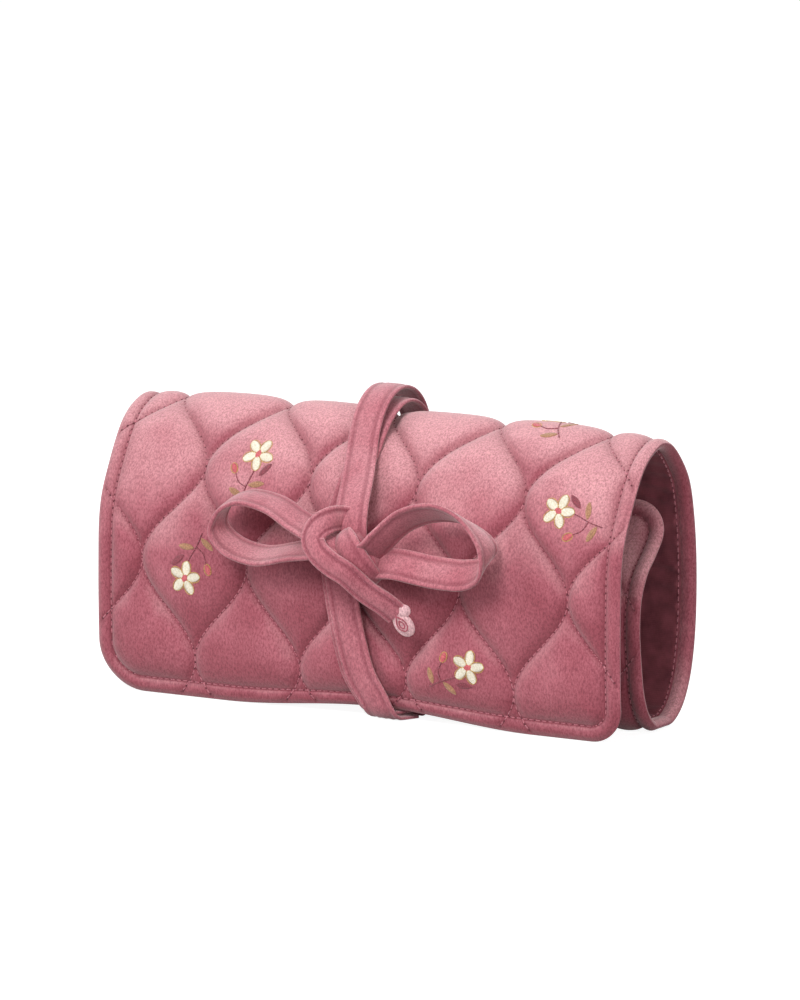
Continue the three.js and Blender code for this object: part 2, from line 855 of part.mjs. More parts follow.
const anchor_x = bar_direction * (bar_start + anchor_length / 2);
const anchor_size = [anchor_length, anchor_width, anchor_thickness];
const anchor = seatedBox(bar_frame, anchor_size, [anchor_x, 0, wall_sag]);
add(back, "ring_bar_anchor", anchor, strap_velvet);

const tab_x = bar_direction * (bar_end + layer_gap + tab_length / 2);
const tab_base = wall_sag + stud_base_height + layer_gap;
const stud_x = bar_end + layer_gap + tab_length - tab_width / 2;
const eyelet_length = tab_base + tab_thickness + cut_overrun;
const socket_radius = stud_post_radius + stud_play;
const eyelet = toSolid(seatedCylinder(socket_radius, eyelet_length, [stud_x, 0, 0]));
const tab = toSolid(seatedBox(bar_frame, [tab_length, tab_width, tab_thickness], [tab_x, 0, tab_base]));
add(bar_group, "ring_bar_tab", toGeometry(tab.subtract(eyelet)), strap_velvet);
const cap_base = tab_base + tab_thickness + layer_gap;
const cap = toSolid(seatedCylinder(stud_cap_radius, stud_cap_height, [stud_x, 0, cap_base]));
const socket_depth = stud_cap_height / 2;
const socket_place = [stud_x, 0, cap_base - cut_overrun];
const socket = toSolid(seatedCylinder(socket_radius, socket_depth + cut_overrun, socket_place));
add(bar_group, "ring_bar_stud_cap", toGeometry(cap.subtract(socket)), gilt);
const stud_base = toSolid(seatedCylinder(stud_base_radius, stud_base_height, [stud_x, 0, wall_sag]));
const post_height = cap_base + socket_depth - stud_play - wall_sag;
const stud_post = toSolid(seatedCylinder(stud_post_radius, post_height, [stud_x, 0, wall_sag]));
add(back, "ring_bar_stud_post", toGeometry(stud_base.add(stud_post)), gilt);

// Strap round the roll

for (const { name, zone, level, ...run } of strap_runs) {
  add(zone_groups[zone], name, strapRun(run, level), strap_velvet);
}

for (const [strand, shares] of strands) {
  const level = strap_levels[strand];
  const at = (name) => shares[name] * roll_length;

  // Underneath, the strap follows the bottom and then crosses straight to the flap's lower edge
  const under_stops = spread(
    (back_fold_share - end_share + 2 * meet_share) * sheet_length,
    inner_flap_fold_share * sheet_length - strap_width,
    strap_step,
  );
  const reach_x = (y) => at("hem") + ((at("back") - at("hem")) * y) / roll_depth;
  const rings = under_stops.map((stop) => {
    const centre = sheetPoint(stop / sheet_length, -level, 0);
    centre.x = reach_x(centre.y);
    return strapRing(centre, across, inwardAt(stop / sheet_length).negate()).map(cinch);
  });
  const down = new THREE.Vector3(0, 0, -1);
  const straight_from = section.getPointAt(under_stops.at(-1) / sheet_length).y;
  for (const y of spread(straight_from, sheet_thickness, strap_step).slice(1)) {
    const centre = new THREE.Vector3(reach_x(y), y, -level);
    rings.push(strapRing(centre, across, down).map(cinch));
  }
  add(bottom, `tie_under_${strand}`, loft(rings, false), strap_velvet);
}

// Patch that holds the strap to the flap's inner side at its hem
const patch = layer({
  from: hem_share,
  to: hem_share + patch_length / sheet_length,
  upper: pocket_face,
  lower: pocket_face + patch_thickness,
  margin: roll_length / 2 - lining_inset - patch_width / 2,
}).translate(outer_strap_shares.hem * roll_length, 0, 0);
add(flap, "tie_anchor_patch", patch, lining_cloth);

// Bow

function fromShares([x, y, z]) {
  return new THREE.Vector3(x * roll_length, y * roll_depth, z * roll_height);
}

// The knot bears on the two layers of strap that run up the flap
const strap_stack = strap_levels.outer + strap_thickness / 2;
const knot_centre = sheetPoint(knot_share, 0, knot_length_share * roll_length);
knot_centre.y -= strap_stack + strap_gap + strap_thickness / 2 + wrap_depth;

// The bundle of strap in the middle of the knot
const core_ball = new THREE.SphereGeometry(0.5, round_segments, round_segments / 2);
const tilt = new THREE.Matrix4().makeRotationY(wrap_tilt_share * Math.PI);
const core_geometry = core_ball
  .clone()
  .scale(knot_core_length, knot_depth, knot_core_height)
  .applyMatrix4(tilt)
  .translate(knot_centre.x, knot_centre.y, knot_centre.z);
add(flap, "tie_knot", core_geometry, strap_velvet);
const core_clear = toSolid(
  core_ball
    .clone()
    .scale(
      knot_core_length + 2 * knot_clearance,
      knot_depth + 2 * knot_clearance,
      knot_core_height + 2 * knot_clearance,
    )
    .applyMatrix4(tilt)
    .translate(knot_centre.x, knot_centre.y, knot_centre.z),
);

// The wrap of the knot: a band round the core, on a slope from upper left to lower right
const down_right = new THREE.Vector3(1, 0, -1).normalize();
const up_right = new THREE.Vector3(1, 0, 1).normalize();
const toward = new THREE.Vector3(0, -1, 0);

function wrapBand(margin) {
  const rings = Array.from({ length: round_segments }, (_, i) => {
    const angle = (i / round_segments) * 2 * Math.PI;
    const rim = down_right.clone().multiplyScalar(wrap_length * Math.cos(angle));
    rim.addScaledVector(toward, wrap_depth * Math.sin(angle));
    const tangent = down_right.clone().multiplyScalar(-wrap_length * Math.sin(angle));
    tangent.addScaledVector(toward, wrap_depth * Math.cos(angle)).normalize();
    const thick = new THREE.Vector3().crossVectors(up_right, tangent);
    const size = [strap_width + 2 * margin, strap_thickness + 2 * margin];
    return strapRing(rim.add(knot_centre), up_right, thick, ...size);
  });
  return loft(rings, true);
}

add(flap, "tie_knot_wrap", wrapBand(0), strap_velvet);
const knot_clear = core_clear.add(toSolid(wrapBand(knot_clearance)));

// The largest body of a solid, without the slivers that a cut leaves
function largest(solid) {
  return solid.decompose().reduce((best, body) => (body.volume() > best.volume() ? body : best));
}

// Ribbon along a curve of points, with its width as near as can be to a direction given at each of them
function ribbon(points, directions, width, thickness = strap_thickness) {
  const curve = new THREE.CatmullRomCurve3(points, false, "centripetal");
  const stations = Math.ceil(curve.getLength() / strap_step - count_tolerance_share);
  const rings = Array.from({ length: stations + 1 }, (_, i) => {
    const place = curve.getUtoTmapping(i / stations) * (points.length - 1);
    const before = Math.min(Math.floor(place), points.length - 2);
    const wide = directions[before].clone().lerp(directions[before + 1], place - before);
    const tangent = curve.getTangentAt(i / stations);
    wide.addScaledVector(tangent, -wide.dot(tangent)).normalize();
    const thick = new THREE.Vector3().crossVectors(tangent, wide);
    return strapRing(curve.getPointAt(i / stations), wide, thick, width, thickness);
  });
  return loft(rings, false);
}

const tail_points = tail_shares.map(fromShares);
const tail_directions = tail_points.map(() => up_right);
const tail_solid = toSolid(ribbon(tail_points, tail_directions, tail_width)).subtract(knot_clear);
const tail_end = tail_points.at(-1);
const tail_direction = tail_end.clone().sub(tail_points.at(-2)).normalize();
const tip_basis = new THREE.Matrix4().makeBasis(
  tail_direction,
  new THREE.Vector3().crossVectors(up_right, tail_direction).normalize(),
  up_right,
);

// The stitched tip of the tail, a flat rounded lobe
function tipLobe(margin) {
  const centre = tail_end.clone().addScaledVector(tail_direction, tip_length / 2 - strap_thickness);
  return core_ball
    .clone()
    .scale(tip_length + 2 * margin, tip_thickness + 2 * margin, tip_width + 2 * margin)
    .applyMatrix4(tip_basis)
    .translate(centre.x, centre.y, centre.z);
}

const tip_clear = toSolid(tipLobe(knot_clearance));
add(flap, "tie_tail", toGeometry(largest(tail_solid.subtract(tip_clear))), strap_velvet);
add(flap, "tie_tail_tip", tipLobe(0), strap_velvet);

const clear_size = [tail_width + 2 * knot_clearance, strap_thickness + 2 * knot_clearance];
const tail_clear = toSolid(ribbon(tail_points, tail_directions, ...clear_size));
for (const [name, shares] of [["left", left_loop_shares], ["right", right_loop_shares]]) {
  const leans = shares.map((place) => new THREE.Vector3(0, 1, place[3]).normalize());
  const loop = toSolid(ribbon(shares.map(fromShares), leans, strap_width));
  const clear = loop.subtract(knot_clear).subtract(tail_clear);
  add(flap, `bow_loop_${name}`, toGeometry(largest(clear)), strap_velvet);
}

// The origin is the middle of the roll's footprint, at the height that it stands on
const part = new THREE.Group();
part.add(root);
part.updateMatrixWorld(true);
const reach = new THREE.Box3().setFromObject(part);
const middle = reach.getCenter(new THREE.Vector3());
root.position.set(-middle.x, -middle.y, 0);
part.updateMatrixWorld(true);

export default part;
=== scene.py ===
# A quilted velvet jewellery roll, tied with a strap in a bow, in the axes of its frame.
# Shapes are worked out in millimetres and become metres when their mesh is made.
import math

import bmesh
import bpy
import numpy as np
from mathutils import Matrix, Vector


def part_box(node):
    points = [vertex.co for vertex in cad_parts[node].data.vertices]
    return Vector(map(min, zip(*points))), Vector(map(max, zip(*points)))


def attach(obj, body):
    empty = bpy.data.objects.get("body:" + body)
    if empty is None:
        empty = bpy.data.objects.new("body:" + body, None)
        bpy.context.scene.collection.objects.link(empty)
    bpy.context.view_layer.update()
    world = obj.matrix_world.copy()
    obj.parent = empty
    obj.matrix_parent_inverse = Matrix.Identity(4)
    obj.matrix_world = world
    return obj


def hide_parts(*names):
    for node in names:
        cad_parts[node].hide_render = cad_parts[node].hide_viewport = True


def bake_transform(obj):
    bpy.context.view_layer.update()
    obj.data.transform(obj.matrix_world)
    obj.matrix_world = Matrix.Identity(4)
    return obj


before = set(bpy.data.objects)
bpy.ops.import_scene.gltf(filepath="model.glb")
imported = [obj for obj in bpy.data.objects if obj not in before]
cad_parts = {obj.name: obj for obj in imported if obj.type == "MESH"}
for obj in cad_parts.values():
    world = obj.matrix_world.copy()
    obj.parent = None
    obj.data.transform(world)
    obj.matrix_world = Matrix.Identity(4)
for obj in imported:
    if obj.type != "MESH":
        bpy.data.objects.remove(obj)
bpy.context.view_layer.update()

MM = 0.001

# Driving dimensions of the roll, in millimetres
roll_length = 210.0
roll_depth = 58.0
roll_height = 103.0
left_corner_radius = 18.0
right_corner_radius = 12.0
cinch_lift = 3.8
cinch_half_length = 62.0
cinch_height = 34.0
cinch_offset = 8.0

# Outer face of the rolled sheet in section: depth and height as shares of the roll's
section_shares = [
    (0.034, 0), (0.01, 0.117), (0, 0.282), (0, 0.437), (0.012, 0.592), (0.047, 0.68),
    (0.128, 0.777), (0.209, 0.858), (0.29, 0.92), (0.405, 0.969), (0.545, 0.994), (0.672, 0.976),
    (0.793, 0.918), (0.897, 0.835), (0.959, 0.709), (0.993, 0.515), (0.974, 0.282), (0.907, 0.136),
    (0.802, 0.044), (0.672, 0), (0.578, 0), (0.483, 0), (0.371, 0.044), (0.293, 0.126),
    (0.25, 0.252), (0.231, 0.369), (0.252, 0.476), (0.328, 0.563), (0.431, 0.621), (0.517, 0.68),
    (0.569, 0.777),
]
flap_fold_share = 0.284
top_fold_share = 0.405
back_fold_share = 0.671
inner_flap_fold_share = 0.752
knot_share = 0.178
hem_share = 0.012

# Padding, quilting and border
seam_pitch = 42.8
seam_period = 69.0
pinch_x = -1.0
pinch_v = 48.3
puff_height = 4.6
puff_reach = 3.6
puff_spread = 0.15
seam_depth = 2.2
border_width = 5.5
border_height = 1.25
border_reach = 1.6
rim_reach = 2.3
rim_depth = 2.2
sheet_depth = 4.2
lining_edge = 5.2
lining_face = 4.35
lining_back = 3.7
tuck_reach = 1.2
tuck_depth = 0.25
# Least and most of each measure of the lining's puckers
pucker = {"length": (9, 26), "tall": (0.5, 1.5), "tilt": (-0.25, 0.25), "wide": (1.2, 2.5), "gap": (5.0, 9.5)}

# Strap and bow
strap_width = 12.0
strap_thickness = 1.5
strap_inner_level = 1.0
strap_outer_level = 2.7
strap_arch = {"outer": 6.2, "inner": 3.4}
strap_press = 7.5
press_softness = 1.1
knot_reach_share = 0.03
strap_stitch_inset = 2.1
# Routes of the strands: shares of the way along the sheet, and of the roll's length from its middle
strap_routes = {
    "upper_outer": [
        (0.15, 0.046), (0.178, 0.034), (0.23, 0.009), (0.284, -0.014), (0.345, -0.017),
        (0.42, -0.014), (0.671, 0.03), (0.8, 0.036),
    ],
    "upper_inner": [
        (0.15, -0.024), (0.178, -0.02), (0.23, -0.016), (0.284, -0.01), (0.345, -0.006),
        (0.42, -0.004), (0.671, 0.04), (0.8, 0.044),
    ],
    "lower_outer": [(0, 0.056), (0.017, 0.046), (0.044, 0.024), (0.071, 0.011), (0.1, 0), (0.2, -0.03)],
    "lower_inner": [(0, 0.045), (0.017, 0.035), (0.044, 0.013), (0.071, 0), (0.1, -0.011), (0.2, -0.041)],
}
strap_rise = {"outer": 9.0, "inner": 2.0}
strap_rise_length = 34.0
strap_tuck = 9.0
hem_slant = 0.35
hem_radius = rim_depth + strap_inner_level
hem_return = 8.0
# Middle lines of the loops, as shares of the roll's length, depth and height; the fourth value
# is how far the width leans up from the depth's direction
left_loop_shares = [
    (0.022, -0.19, 0.61, 0.45), (0.005, -0.24, 0.62, 0.45), (-0.064, -0.207, 0.67, 0.45),
    (-0.123, -0.164, 0.717, 0.35), (-0.184, -0.147, 0.727, 0.26), (-0.219, -0.147, 0.689, 0.26),
    (-0.232, -0.147, 0.62, 0.3), (-0.208, -0.147, 0.565, 0.45), (-0.154, -0.147, 0.536, 0.47),
    (-0.07, -0.19, 0.57, 0.47), (0.0, -0.225, 0.59, 0.47), (0.02, -0.18, 0.585, 0.47),
]
right_loop_shares = [
    (0.05, -0.19, 0.578, -1), (0.07, -0.216, 0.59, -1), (0.09, -0.207, 0.633, -1),
    (0.13, -0.172, 0.707, -0.85), (0.185, -0.155, 0.741, -0.75), (0.24, -0.147, 0.718, -0.4),
    (0.282, -0.147, 0.636, 0.1), (0.271, -0.147, 0.568, 0.8), (0.241, -0.147, 0.541, 1.4),
    (0.185, -0.155, 0.54, 1.4), (0.114, -0.182, 0.558, 1.2), (0.075, -0.16, 0.549, 1.3),
    (0.04, -0.13, 0.54, 1.3), (0.005, -0.11, 0.532, 1.3),
]
# The tail's fourth value is the direction of its width, in degrees
tail_shares = [
    (0.023, -0.090, 0.679, 95), (0.007, -0.135, 0.688, 95), (0.001, -0.220, 0.692, 100),
    (-0.008, -0.275, 0.680, 125), (-0.017, -0.305, 0.657, 150), (-0.020, -0.320, 0.629, 175),
    (-0.012, -0.333, 0.600, 205), (0.001, -0.341, 0.576, 217), (0.021, -0.343, 0.551, 225),
    (0.045, -0.335, 0.526, 228), (0.075, -0.283, 0.467, 228), (0.101, -0.227, 0.425, 228),
    (0.117, -0.180, 0.390, 228),
]
wrap_length = 9.9
wrap_depth = 6.2
wrap_crown = 1.6
wrap_gather = 0.25
wrap_shift = 1.7
tail_width = 9.0
tail_stitch_inset = 1.6
loop_thickness = 1.9
tail_thickness = 2.2
tip_length = 10.7
tip_width = 6.6
tip_half_height = 1.5
tip_drop = 1.6
tip_thread_radius = 0.28
# Size and height of each stitched loop on the tip, and the loop's corners as shares of the tip's size
tip_loops = [(1.0, 1.55), (0.5, 1.7)]
tip_loop_shares = [(-0.34, -0.02), (-0.1, 0.22), (0.14, 0.2), (0.24, 0), (0.08, -0.24), (-0.14, -0.2)]
ear_length = 6.0
ear_width = 4.6
ear_offset = 2.4
core_half_width = 5.6
core_half_length = 9.0
core_half_depth = 5.2
core_pleats = 7
pleat_depth = 0.06

# Pockets, zips and ring bar
pocket_depth = 4.75
pocket_margin = 9.0
pocket_stretches = [(28, 89), (298, 352)]
flap_pocket_depth = 36.0
inner_pocket_depth = 26.0
tape_height = 0.6
panel_height = 0.8
anchor_height = 1.2
flap_zip_share = 0.196
inner_zip_share = 0.875
zip_length = 172.0
zip_pitch = 1.25
tape_width = 9.0
tape_gap = 0.3
tape_end = 2.4
coil_depth = 6.3
coil_width = 3.4
tooth_radius = 0.45
pad_step = 2.5
pad_rim = 0.35
pad_ripple = 0.06
pad_hem_groove = 0.15
pad_stitch_inset = 1.5
metal_edge = 0.18
patch_x = 10.1
patch_width = 17.0
patch_length = 14.0
bar_share = 0.588
bar_inset = 0.15
bar_end_reach = 8
bar_pleats = 14
anchor_from = -87.0
anchor_length = 12.0
anchor_width = 16.0
tab_width = 11.0
tab_thickness = 1.4
stud_cap_radius = 5.2
stud_cap_height = 1.8
# Outline of the stud's cap: shares of its height and radius
stud_cap_shares = [(0, 0.9), (0.12, 0.98), (0.4, 1), (0.62, 0.95), (0.84, 0.78), (0.96, 0.5), (1, 0.2)]

# Embroidery
satin_pitch = 0.36
satin_radius = 0.24
satin_lift = 0.05
sprig_reach = 18.0

# Fineness of the meshes
grid_step = 0.8
ribbon_step = 1.0
path_step = 1.0
corner_ease = 45.0


# Section of the sheet

def catmull_rom(points, steps=40):
    """A dense polyline through points, on a centripetal Catmull-Rom curve."""
    points = np.asarray(points, float)
    padded = np.vstack([2 * points[0] - points[1], points, 2 * points[-1] - points[-2]])
    way = np.linspace(0, 1, steps, endpoint=False)[:, None]
    dense = []
    for a, b, c, d in zip(padded, padded[1:], padded[2:], padded[3:]):
        ab, bc, cd = (max(np.sqrt(np.linalg.norm(q - p)), 1e-6) for p, q in ((a, b), (b, c), (c, d)))
        start = ((b - a) / ab - (c - a) / (ab + bc) + (c - b) / bc) * bc
        end = ((c - b) / bc - (d - b) / (bc + cd) + (d - c) / cd) * bc
        cube = 2 * b - 2 * c + start + end
        square = -3 * b + 3 * c - 2 * start - end
        dense.append(((cube * way + square) * way + start) * way + b)
    dense.append(points[-1][None])
    return np.vstack(dense)


def lengths_along(points):
    return np.concatenate([[0], np.cumsum(np.linalg.norm(np.diff(points, axis=0), axis=1))])


def resampled(line, way, stops):
    """Places at stops along a line whose own points lie at way."""
    return np.stack([np.interp(stops, way, column) for column in line.T], axis=-1)


section = catmull_rom([(y * roll_depth, z * roll_height) for y, z in section_shares])
section_v = lengths_along(section)
sheet_length = section_v[-1]
section_along = np.gradient(section, section_v, axis=0)
section_along /= np.linalg.norm(section_along, axis=1)[:, None]
knot_v = knot_share * sheet_length
strap_end_v = inner_flap_fold_share * sheet_length - strap_width
# The frame's origin lies at the middle of the part, and the section's at the flap's face
past_inner_fold = section_v > inner_flap_fold_share * sheet_length
frame_shift = section[past_inner_fold, 0].min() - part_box("inner_flap_quilt")[0].y / MM


def cinch(points):
    """The strap lifts the low parts of the roll near its middle."""
    reach = np.abs(points[..., 0] - cinch_offset) / cinch_half_length
    low = np.clip(1 - np.maximum(points[..., 2], 0) / cinch_height, 0, 1)
    pull = np.where(reach < 1, np.cos(np.minimum(reach, 1) * math.pi / 2) ** 2, 0)
    lifted = points.copy()
    lifted[..., 2] += cinch_lift * pull * low**2
    return lifted


def on_sheet(u, v, depth):
    """The point at u along the roll and v along the section, at a depth below the sheet's outer face."""
    u, v, depth = np.broadcast_arrays(np.asarray(u, float), np.asarray(v, float), np.asarray(depth, float))
    y = np.interp(v, section_v, section[:, 0])
    z = np.maximum(np.interp(v, section_v, section[:, 1]), 0)
    along_y = np.interp(v, section_v, section_along[:, 0])
    along_z = np.interp(v, section_v, section_along[:, 1])
    norm = np.hypot(along_y, along_z)
    y = y + along_z / norm * depth
    z = z - along_y / norm * depth
    points = cinch(np.stack([u, y, np.maximum(z, 0)], axis=-1))
    points[..., 1] -= frame_shift
    return points


def sheet_frame(u, v, depth):
    """Point, direction along the roll, direction along the section and outward normal."""
    h = 0.2
    point = on_sheet(u, v, depth)
    across = on_sheet(u + h, v, depth) - on_sheet(u - h, v, depth)
    along = on_sheet(u, v + h, depth) - on_sheet(u, v - h, depth)
    across /= np.linalg.norm(across, axis=-1, keepdims=True)
    along /= np.linalg.norm(along, axis=-1, keepdims=True)
    outward = np.cross(across, along)
    return point, across, along, outward / np.linalg.norm(outward, axis=-1, keepdims=True)


# Padding of the sheet

def edge_distance(u, v):
    """How far a place on the flat sheet lies inside its outline, whose corners are rounded."""
    radius = np.where(u < 0, left_corner_radius, right_corner_radius)
    side = roll_length / 2 - np.abs(u)
    end = np.minimum(v, sheet_length - v)
    corner = radius - np.hypot(np.maximum(radius - side, 0), np.maximum(radius - end, 0))
    return np.where((side < radius) & (end < radius), corner, np.minimum(side, end))


def seam_x(k, v):
    turn = 1 - 2 * (np.asarray(k) % 2)
    wave = turn * seam_pitch / 4 * np.cos(2 * math.pi * (v - pinch_v) / seam_period)
    return pinch_x - seam_pitch / 4 + k * seam_pitch / 2 + wave


def seam_distance(u, v):
    """A smooth distance to the quilting seams on both sides."""
    near = np.floor((u - pinch_x + seam_pitch / 4) / (seam_pitch / 2))
    left = np.full_like(u, -1e3)
    right = np.full_like(u, 1e3)
    for k in (near - 1, near, near + 1, near + 2):
        x = seam_x(k, v)
        left = np.where((x <= u) & (x > left), x, left)
        right = np.where((x > u) & (x < right), x, right)
    slope = seam_pitch / 4 * 2 * math.pi / seam_period * np.sin(2 * math.pi * (v - pinch_v) / seam_period)
    to_left, to_right = u - left, right - u
    return to_left * to_right / np.maximum(to_left + to_right, 1e-6) / np.sqrt(1 + slope**2)


strap_lines = {name: catmull_rom(route) for name, route in strap_routes.items()}


def strap_x(v, route):
    """Where the middle of a strand of the strap lies, at v along the section."""
    line = strap_lines[route]
    return np.interp(v / sheet_length, line[:, 0], line[:, 1]) * roll_length


def under_strap(u, v):
    """1 where the strap presses on the sheet, 0 away from it."""
    above = np.clip((v / sheet_length - knot_share) / knot_reach_share + 0.5, 0, 1)
    middle = strap_x(v, "lower_outer") * (1 - above) + strap_x(v, "upper_outer") * above
    away = np.abs(u - middle)
    press = 1 / (1 + np.exp((away - strap_press) / press_softness))
    return press * (v < strap_end_v)


def rounded_rim(depth, edge):
    """A depth that turns round the sheet's rim."""
    rim = np.sqrt(1 - (1 - np.clip(edge / rim_reach, 0, 1)) ** 2)
    return rim_depth + (depth - rim_depth) * rim


def outer_depth(u, v):
    """Depth of the velvet's outer face: pillows between the seams, a rolled border, a rounded rim."""
    edge = edge_distance(u, v)
    seam = seam_distance(u, v)
    inside = np.maximum(edge - border_width, 0)
    both = seam * inside / np.maximum(seam + inside, 1e-6)
    size = 1 - puff_spread + puff_spread * np.sin(0.061 * u + 1.3) * np.sin(0.047 * v + 0.4)
    pillow = puff_height * size * (1 - np.exp(-both / puff_reach))
    across = np.clip(edge / border_width, 0, 1)
    notch = 0.5 + 0.5 * (1 - np.exp(-seam / border_reach))
    roll = border_height * np.sqrt(np.sin(math.pi * across)) * notch
    height = np.where(edge > border_width, pillow, roll)
    pressed = under_strap(u, v)
    height = height * (1 - pressed) + np.minimum(height, seam_depth - 0.1) * pressed
    return rounded_rim(seam_depth - height, edge)


def inner_depth(u, v):
    """Depth of the velvet's inner face, which shows in the border only."""
    edge = edge_distance(u, v)
    band = sheet_depth + 0.35 * np.sin(math.pi * np.clip(edge / lining_edge, 0, 1))
    under = lining_back - 0.3
    depth = np.where(edge < lining_edge, band, np.maximum(band - (edge - lining_edge), under))
    return rounded_rim(depth, edge)


# Meshes

def linked(name, data):
    """A new object, in the scene."""
    made = bpy.data.objects.new(name, data)
    bpy.context.scene.collection.objects.link(made)
    return made


def make_mesh(name, points, faces, materials, normals=None, face_materials=None, values=None):
    """A mesh object from points in millimetres and an array of faces with three or four corners each."""
    mesh = bpy.data.meshes.new(name)
    faces = [np.asarray(f, np.int64) for f in faces if len(f)]
    mesh.vertices.add(len(points))
    mesh.vertices.foreach_set("co", (np.asarray(points) * MM).astype(np.float32).ravel())
    corners = np.concatenate([f.ravel() for f in faces])
    sizes = np.concatenate([np.full(len(f), f.shape[1]) for f in faces])
    mesh.loops.add(len(corners))
    mesh.loops.foreach_set("vertex_index", corners.astype(np.int32))
    mesh.polygons.add(len(sizes))
    mesh.polygons.foreach_set("loop_start", np.concatenate([[0], np.cumsum(sizes)[:-1]]).astype(np.int32))
    mesh.polygons.foreach_set("use_smooth", np.ones(len(sizes), bool))
    if face_materials is not None:
        mesh.polygons.foreach_set("material_index", np.asarray(face_materials, np.int32))
    mesh.update(calc_edges=True)
    for key, value in (values or {}).items():
        mesh.attributes.new(key, "FLOAT", "POINT").data.foreach_set("value", np.asarray(value, np.float32))
    for material in materials:
        mesh.materials.append(material)
    if normals is not None:
        mesh.normals_split_custom_set_from_vertices(normals)
    return linked(name, mesh)


def quads(index):
    """Faces of a grid of vertex numbers."""
    return np.stack([index[:-1, :-1], index[:-1, 1:], index[1:, 1:], index[1:, :-1]], axis=-1).reshape(-1, 4)


def grid_normals(grid):
    """Unit normals of a grid of points, summed from its faces."""
    a = grid[1:, 1:] - grid[:-1, :-1]
    b = grid[1:, :-1] - grid[:-1, 1:]
    face = np.cross(a, b)
    total = np.zeros_like(grid)
    for rows in (slice(None, -1), slice(1, None)):
        for columns in (slice(None, -1), slice(1, None)):
            total[rows, columns] += face
    return total


def unit(vectors):
    return vectors / np.maximum(np.linalg.norm(vectors, axis=-1, keepdims=True), 1e-9)


class Shell:
    """A closed thin body between an outer and an inner grid that share their free edges."""

    def __init__(self, outer, inner, values):
        self.outer, self.inner, self.values = outer, inner, values
        outward = grid_normals(outer)
        inward = -grid_normals(inner)
        rim = np.zeros(outer.shape[:2], bool)
        rim[:, [0, -1]] = True
        rim[[0, -1]] = True
        both = unit(outward) + unit(inward)
        self.outward = unit(np.where(rim[..., None], both, outward))
        self.inward = unit(np.where(rim[..., None], both, inward))

    def piece(self, name, first, last, materials):
        """The rows from first to last as one object."""
        rows, columns = last - first + 1, self.outer.shape[1]
        top = np.arange(rows * columns).reshape(rows, columns)
        low = top + rows * columns
        low[:, [0, -1]] = top[:, [0, -1]]
        if first == 0:
            low[0] = top[0]
        if last == self.outer.shape[0] - 1:
            low[-1] = top[-1]
        faces = [quads(top), quads(low)[:, ::-1]]
        for row, is_free, turn in ((0, first == 0, 1), (-1, last == self.outer.shape[0] - 1, -1)):
            if not is_free:
                cap = np.stack([top[row, :-1], top[row, 1:], low[row, 1:], low[row, :-1]], axis=-1)
                faces.append(cap[:, ::turn])
        faces = np.concatenate(faces)

        def both(outer, inner):
            parts = [grid[first : last + 1].reshape(rows * columns, -1) for grid in (outer, inner)]
            return np.concatenate(parts)

        points, normals = both(self.outer, self.inner), both(self.outward, self.inward)
        used, renumbered = np.unique(faces, return_inverse=True)
        faces = renumbered.reshape(faces.shape)
        full = (faces != np.roll(faces, 1, axis=1)).all(axis=1)
        corners = [list(dict.fromkeys(f)) for f in faces[~full].tolist()]
        triangles = np.array([c for c in corners if len(c) == 3]).reshape(-1, 3)
        return make_mesh(
            name, points[used], [faces[full], triangles], materials, normals[used],
            values={key: both(*held)[used].ravel() for key, held in self.values.items()},
        )


def loft(rings, closed=False, crisp=False):
    """Points and faces of a tube through rings, closed on itself or capped by fans, crisp or soft."""
    rings = np.asarray(rings)
    count, sides = rings.shape[:2]
    index = np.arange(count * sides).reshape(count, sides)
    index = np.concatenate([index, index[:, :1]], axis=1)
    if closed:
        index = np.concatenate([index, index[:1]], axis=0)
    points = rings.reshape(-1, 3)
    faces = quads(index)[:, ::-1]
    if closed:
        return points, [faces]
    centres = np.stack([rings[0].mean(0), rings[-1].mean(0)])
    points = np.vstack([points, centres, *([rings[0], rings[-1]] if crisp else [])])
    k = np.arange(sides)
    near, far = (count * sides + 2, count * sides + 2 + sides) if crisp else (0, (count - 1) * sides)
    start = np.stack([np.full(sides, count * sides), near + k, near + (k + 1) % sides], axis=-1)
    end = np.stack([np.full(sides, count * sides + 1), far + (k + 1) % sides, far + k], axis=-1)
    return points, [faces, np.concatenate([start, end])]


def merge(parts):
    """Several (points, faces, material number) as one."""
    points, faces, numbers, base = [], {3: [], 4: []}, {3: [], 4: []}, 0
    for part_points, part_faces, number in parts:
        points.append(part_points)
        for f in part_faces:
            if len(f):
                faces[f.shape[1]].append(f + base)
                numbers[f.shape[1]].append(np.full(len(f), number))
        base += len(part_points)
    kept = [n for n in (4, 3) if faces[n]]
    return (
        np.vstack(points),
        [np.concatenate(faces[n]) for n in kept],
        np.concatenate([np.concatenate(numbers[n]) for n in kept]),
    )


def outward_faces(points, faces):
    """The same faces, turned so that the closed body has a positive volume."""
    volume = 0.0
    for f in faces:
        for i in range(1, f.shape[1] - 1):
            a, b, c = points[f[:, 0]], points[f[:, i]], points[f[:, i + 1]]
            volume += np.einsum("ij,ij->", a, np.cross(b, c))
    return [f[:, ::-1] for f in faces] if volume < 0 else faces


def lofted(name, rings, material):
    """A mesh object through rings."""
    points, faces = loft(rings)
    return make_mesh(name, points, outward_faces(points, faces), [material])


def merged(name, parts, materials):
    """A mesh object of several (points, faces, material number)."""
    points, faces, numbers = merge(parts)
    return make_mesh(name, points, faces, materials, face_materials=numbers)


# Materials

def feed(links, socket, value):
    """Links a socket to another, or sets its number or colour."""
    if isinstance(value, bpy.types.NodeSocket):
        links.new(value, socket)
    else:
        socket.default_value = (*value, 1) if isinstance(value, tuple) else value


def feed_all(links, node, values):
    for name, value in values.items():
        feed(links, node.inputs[name], value)


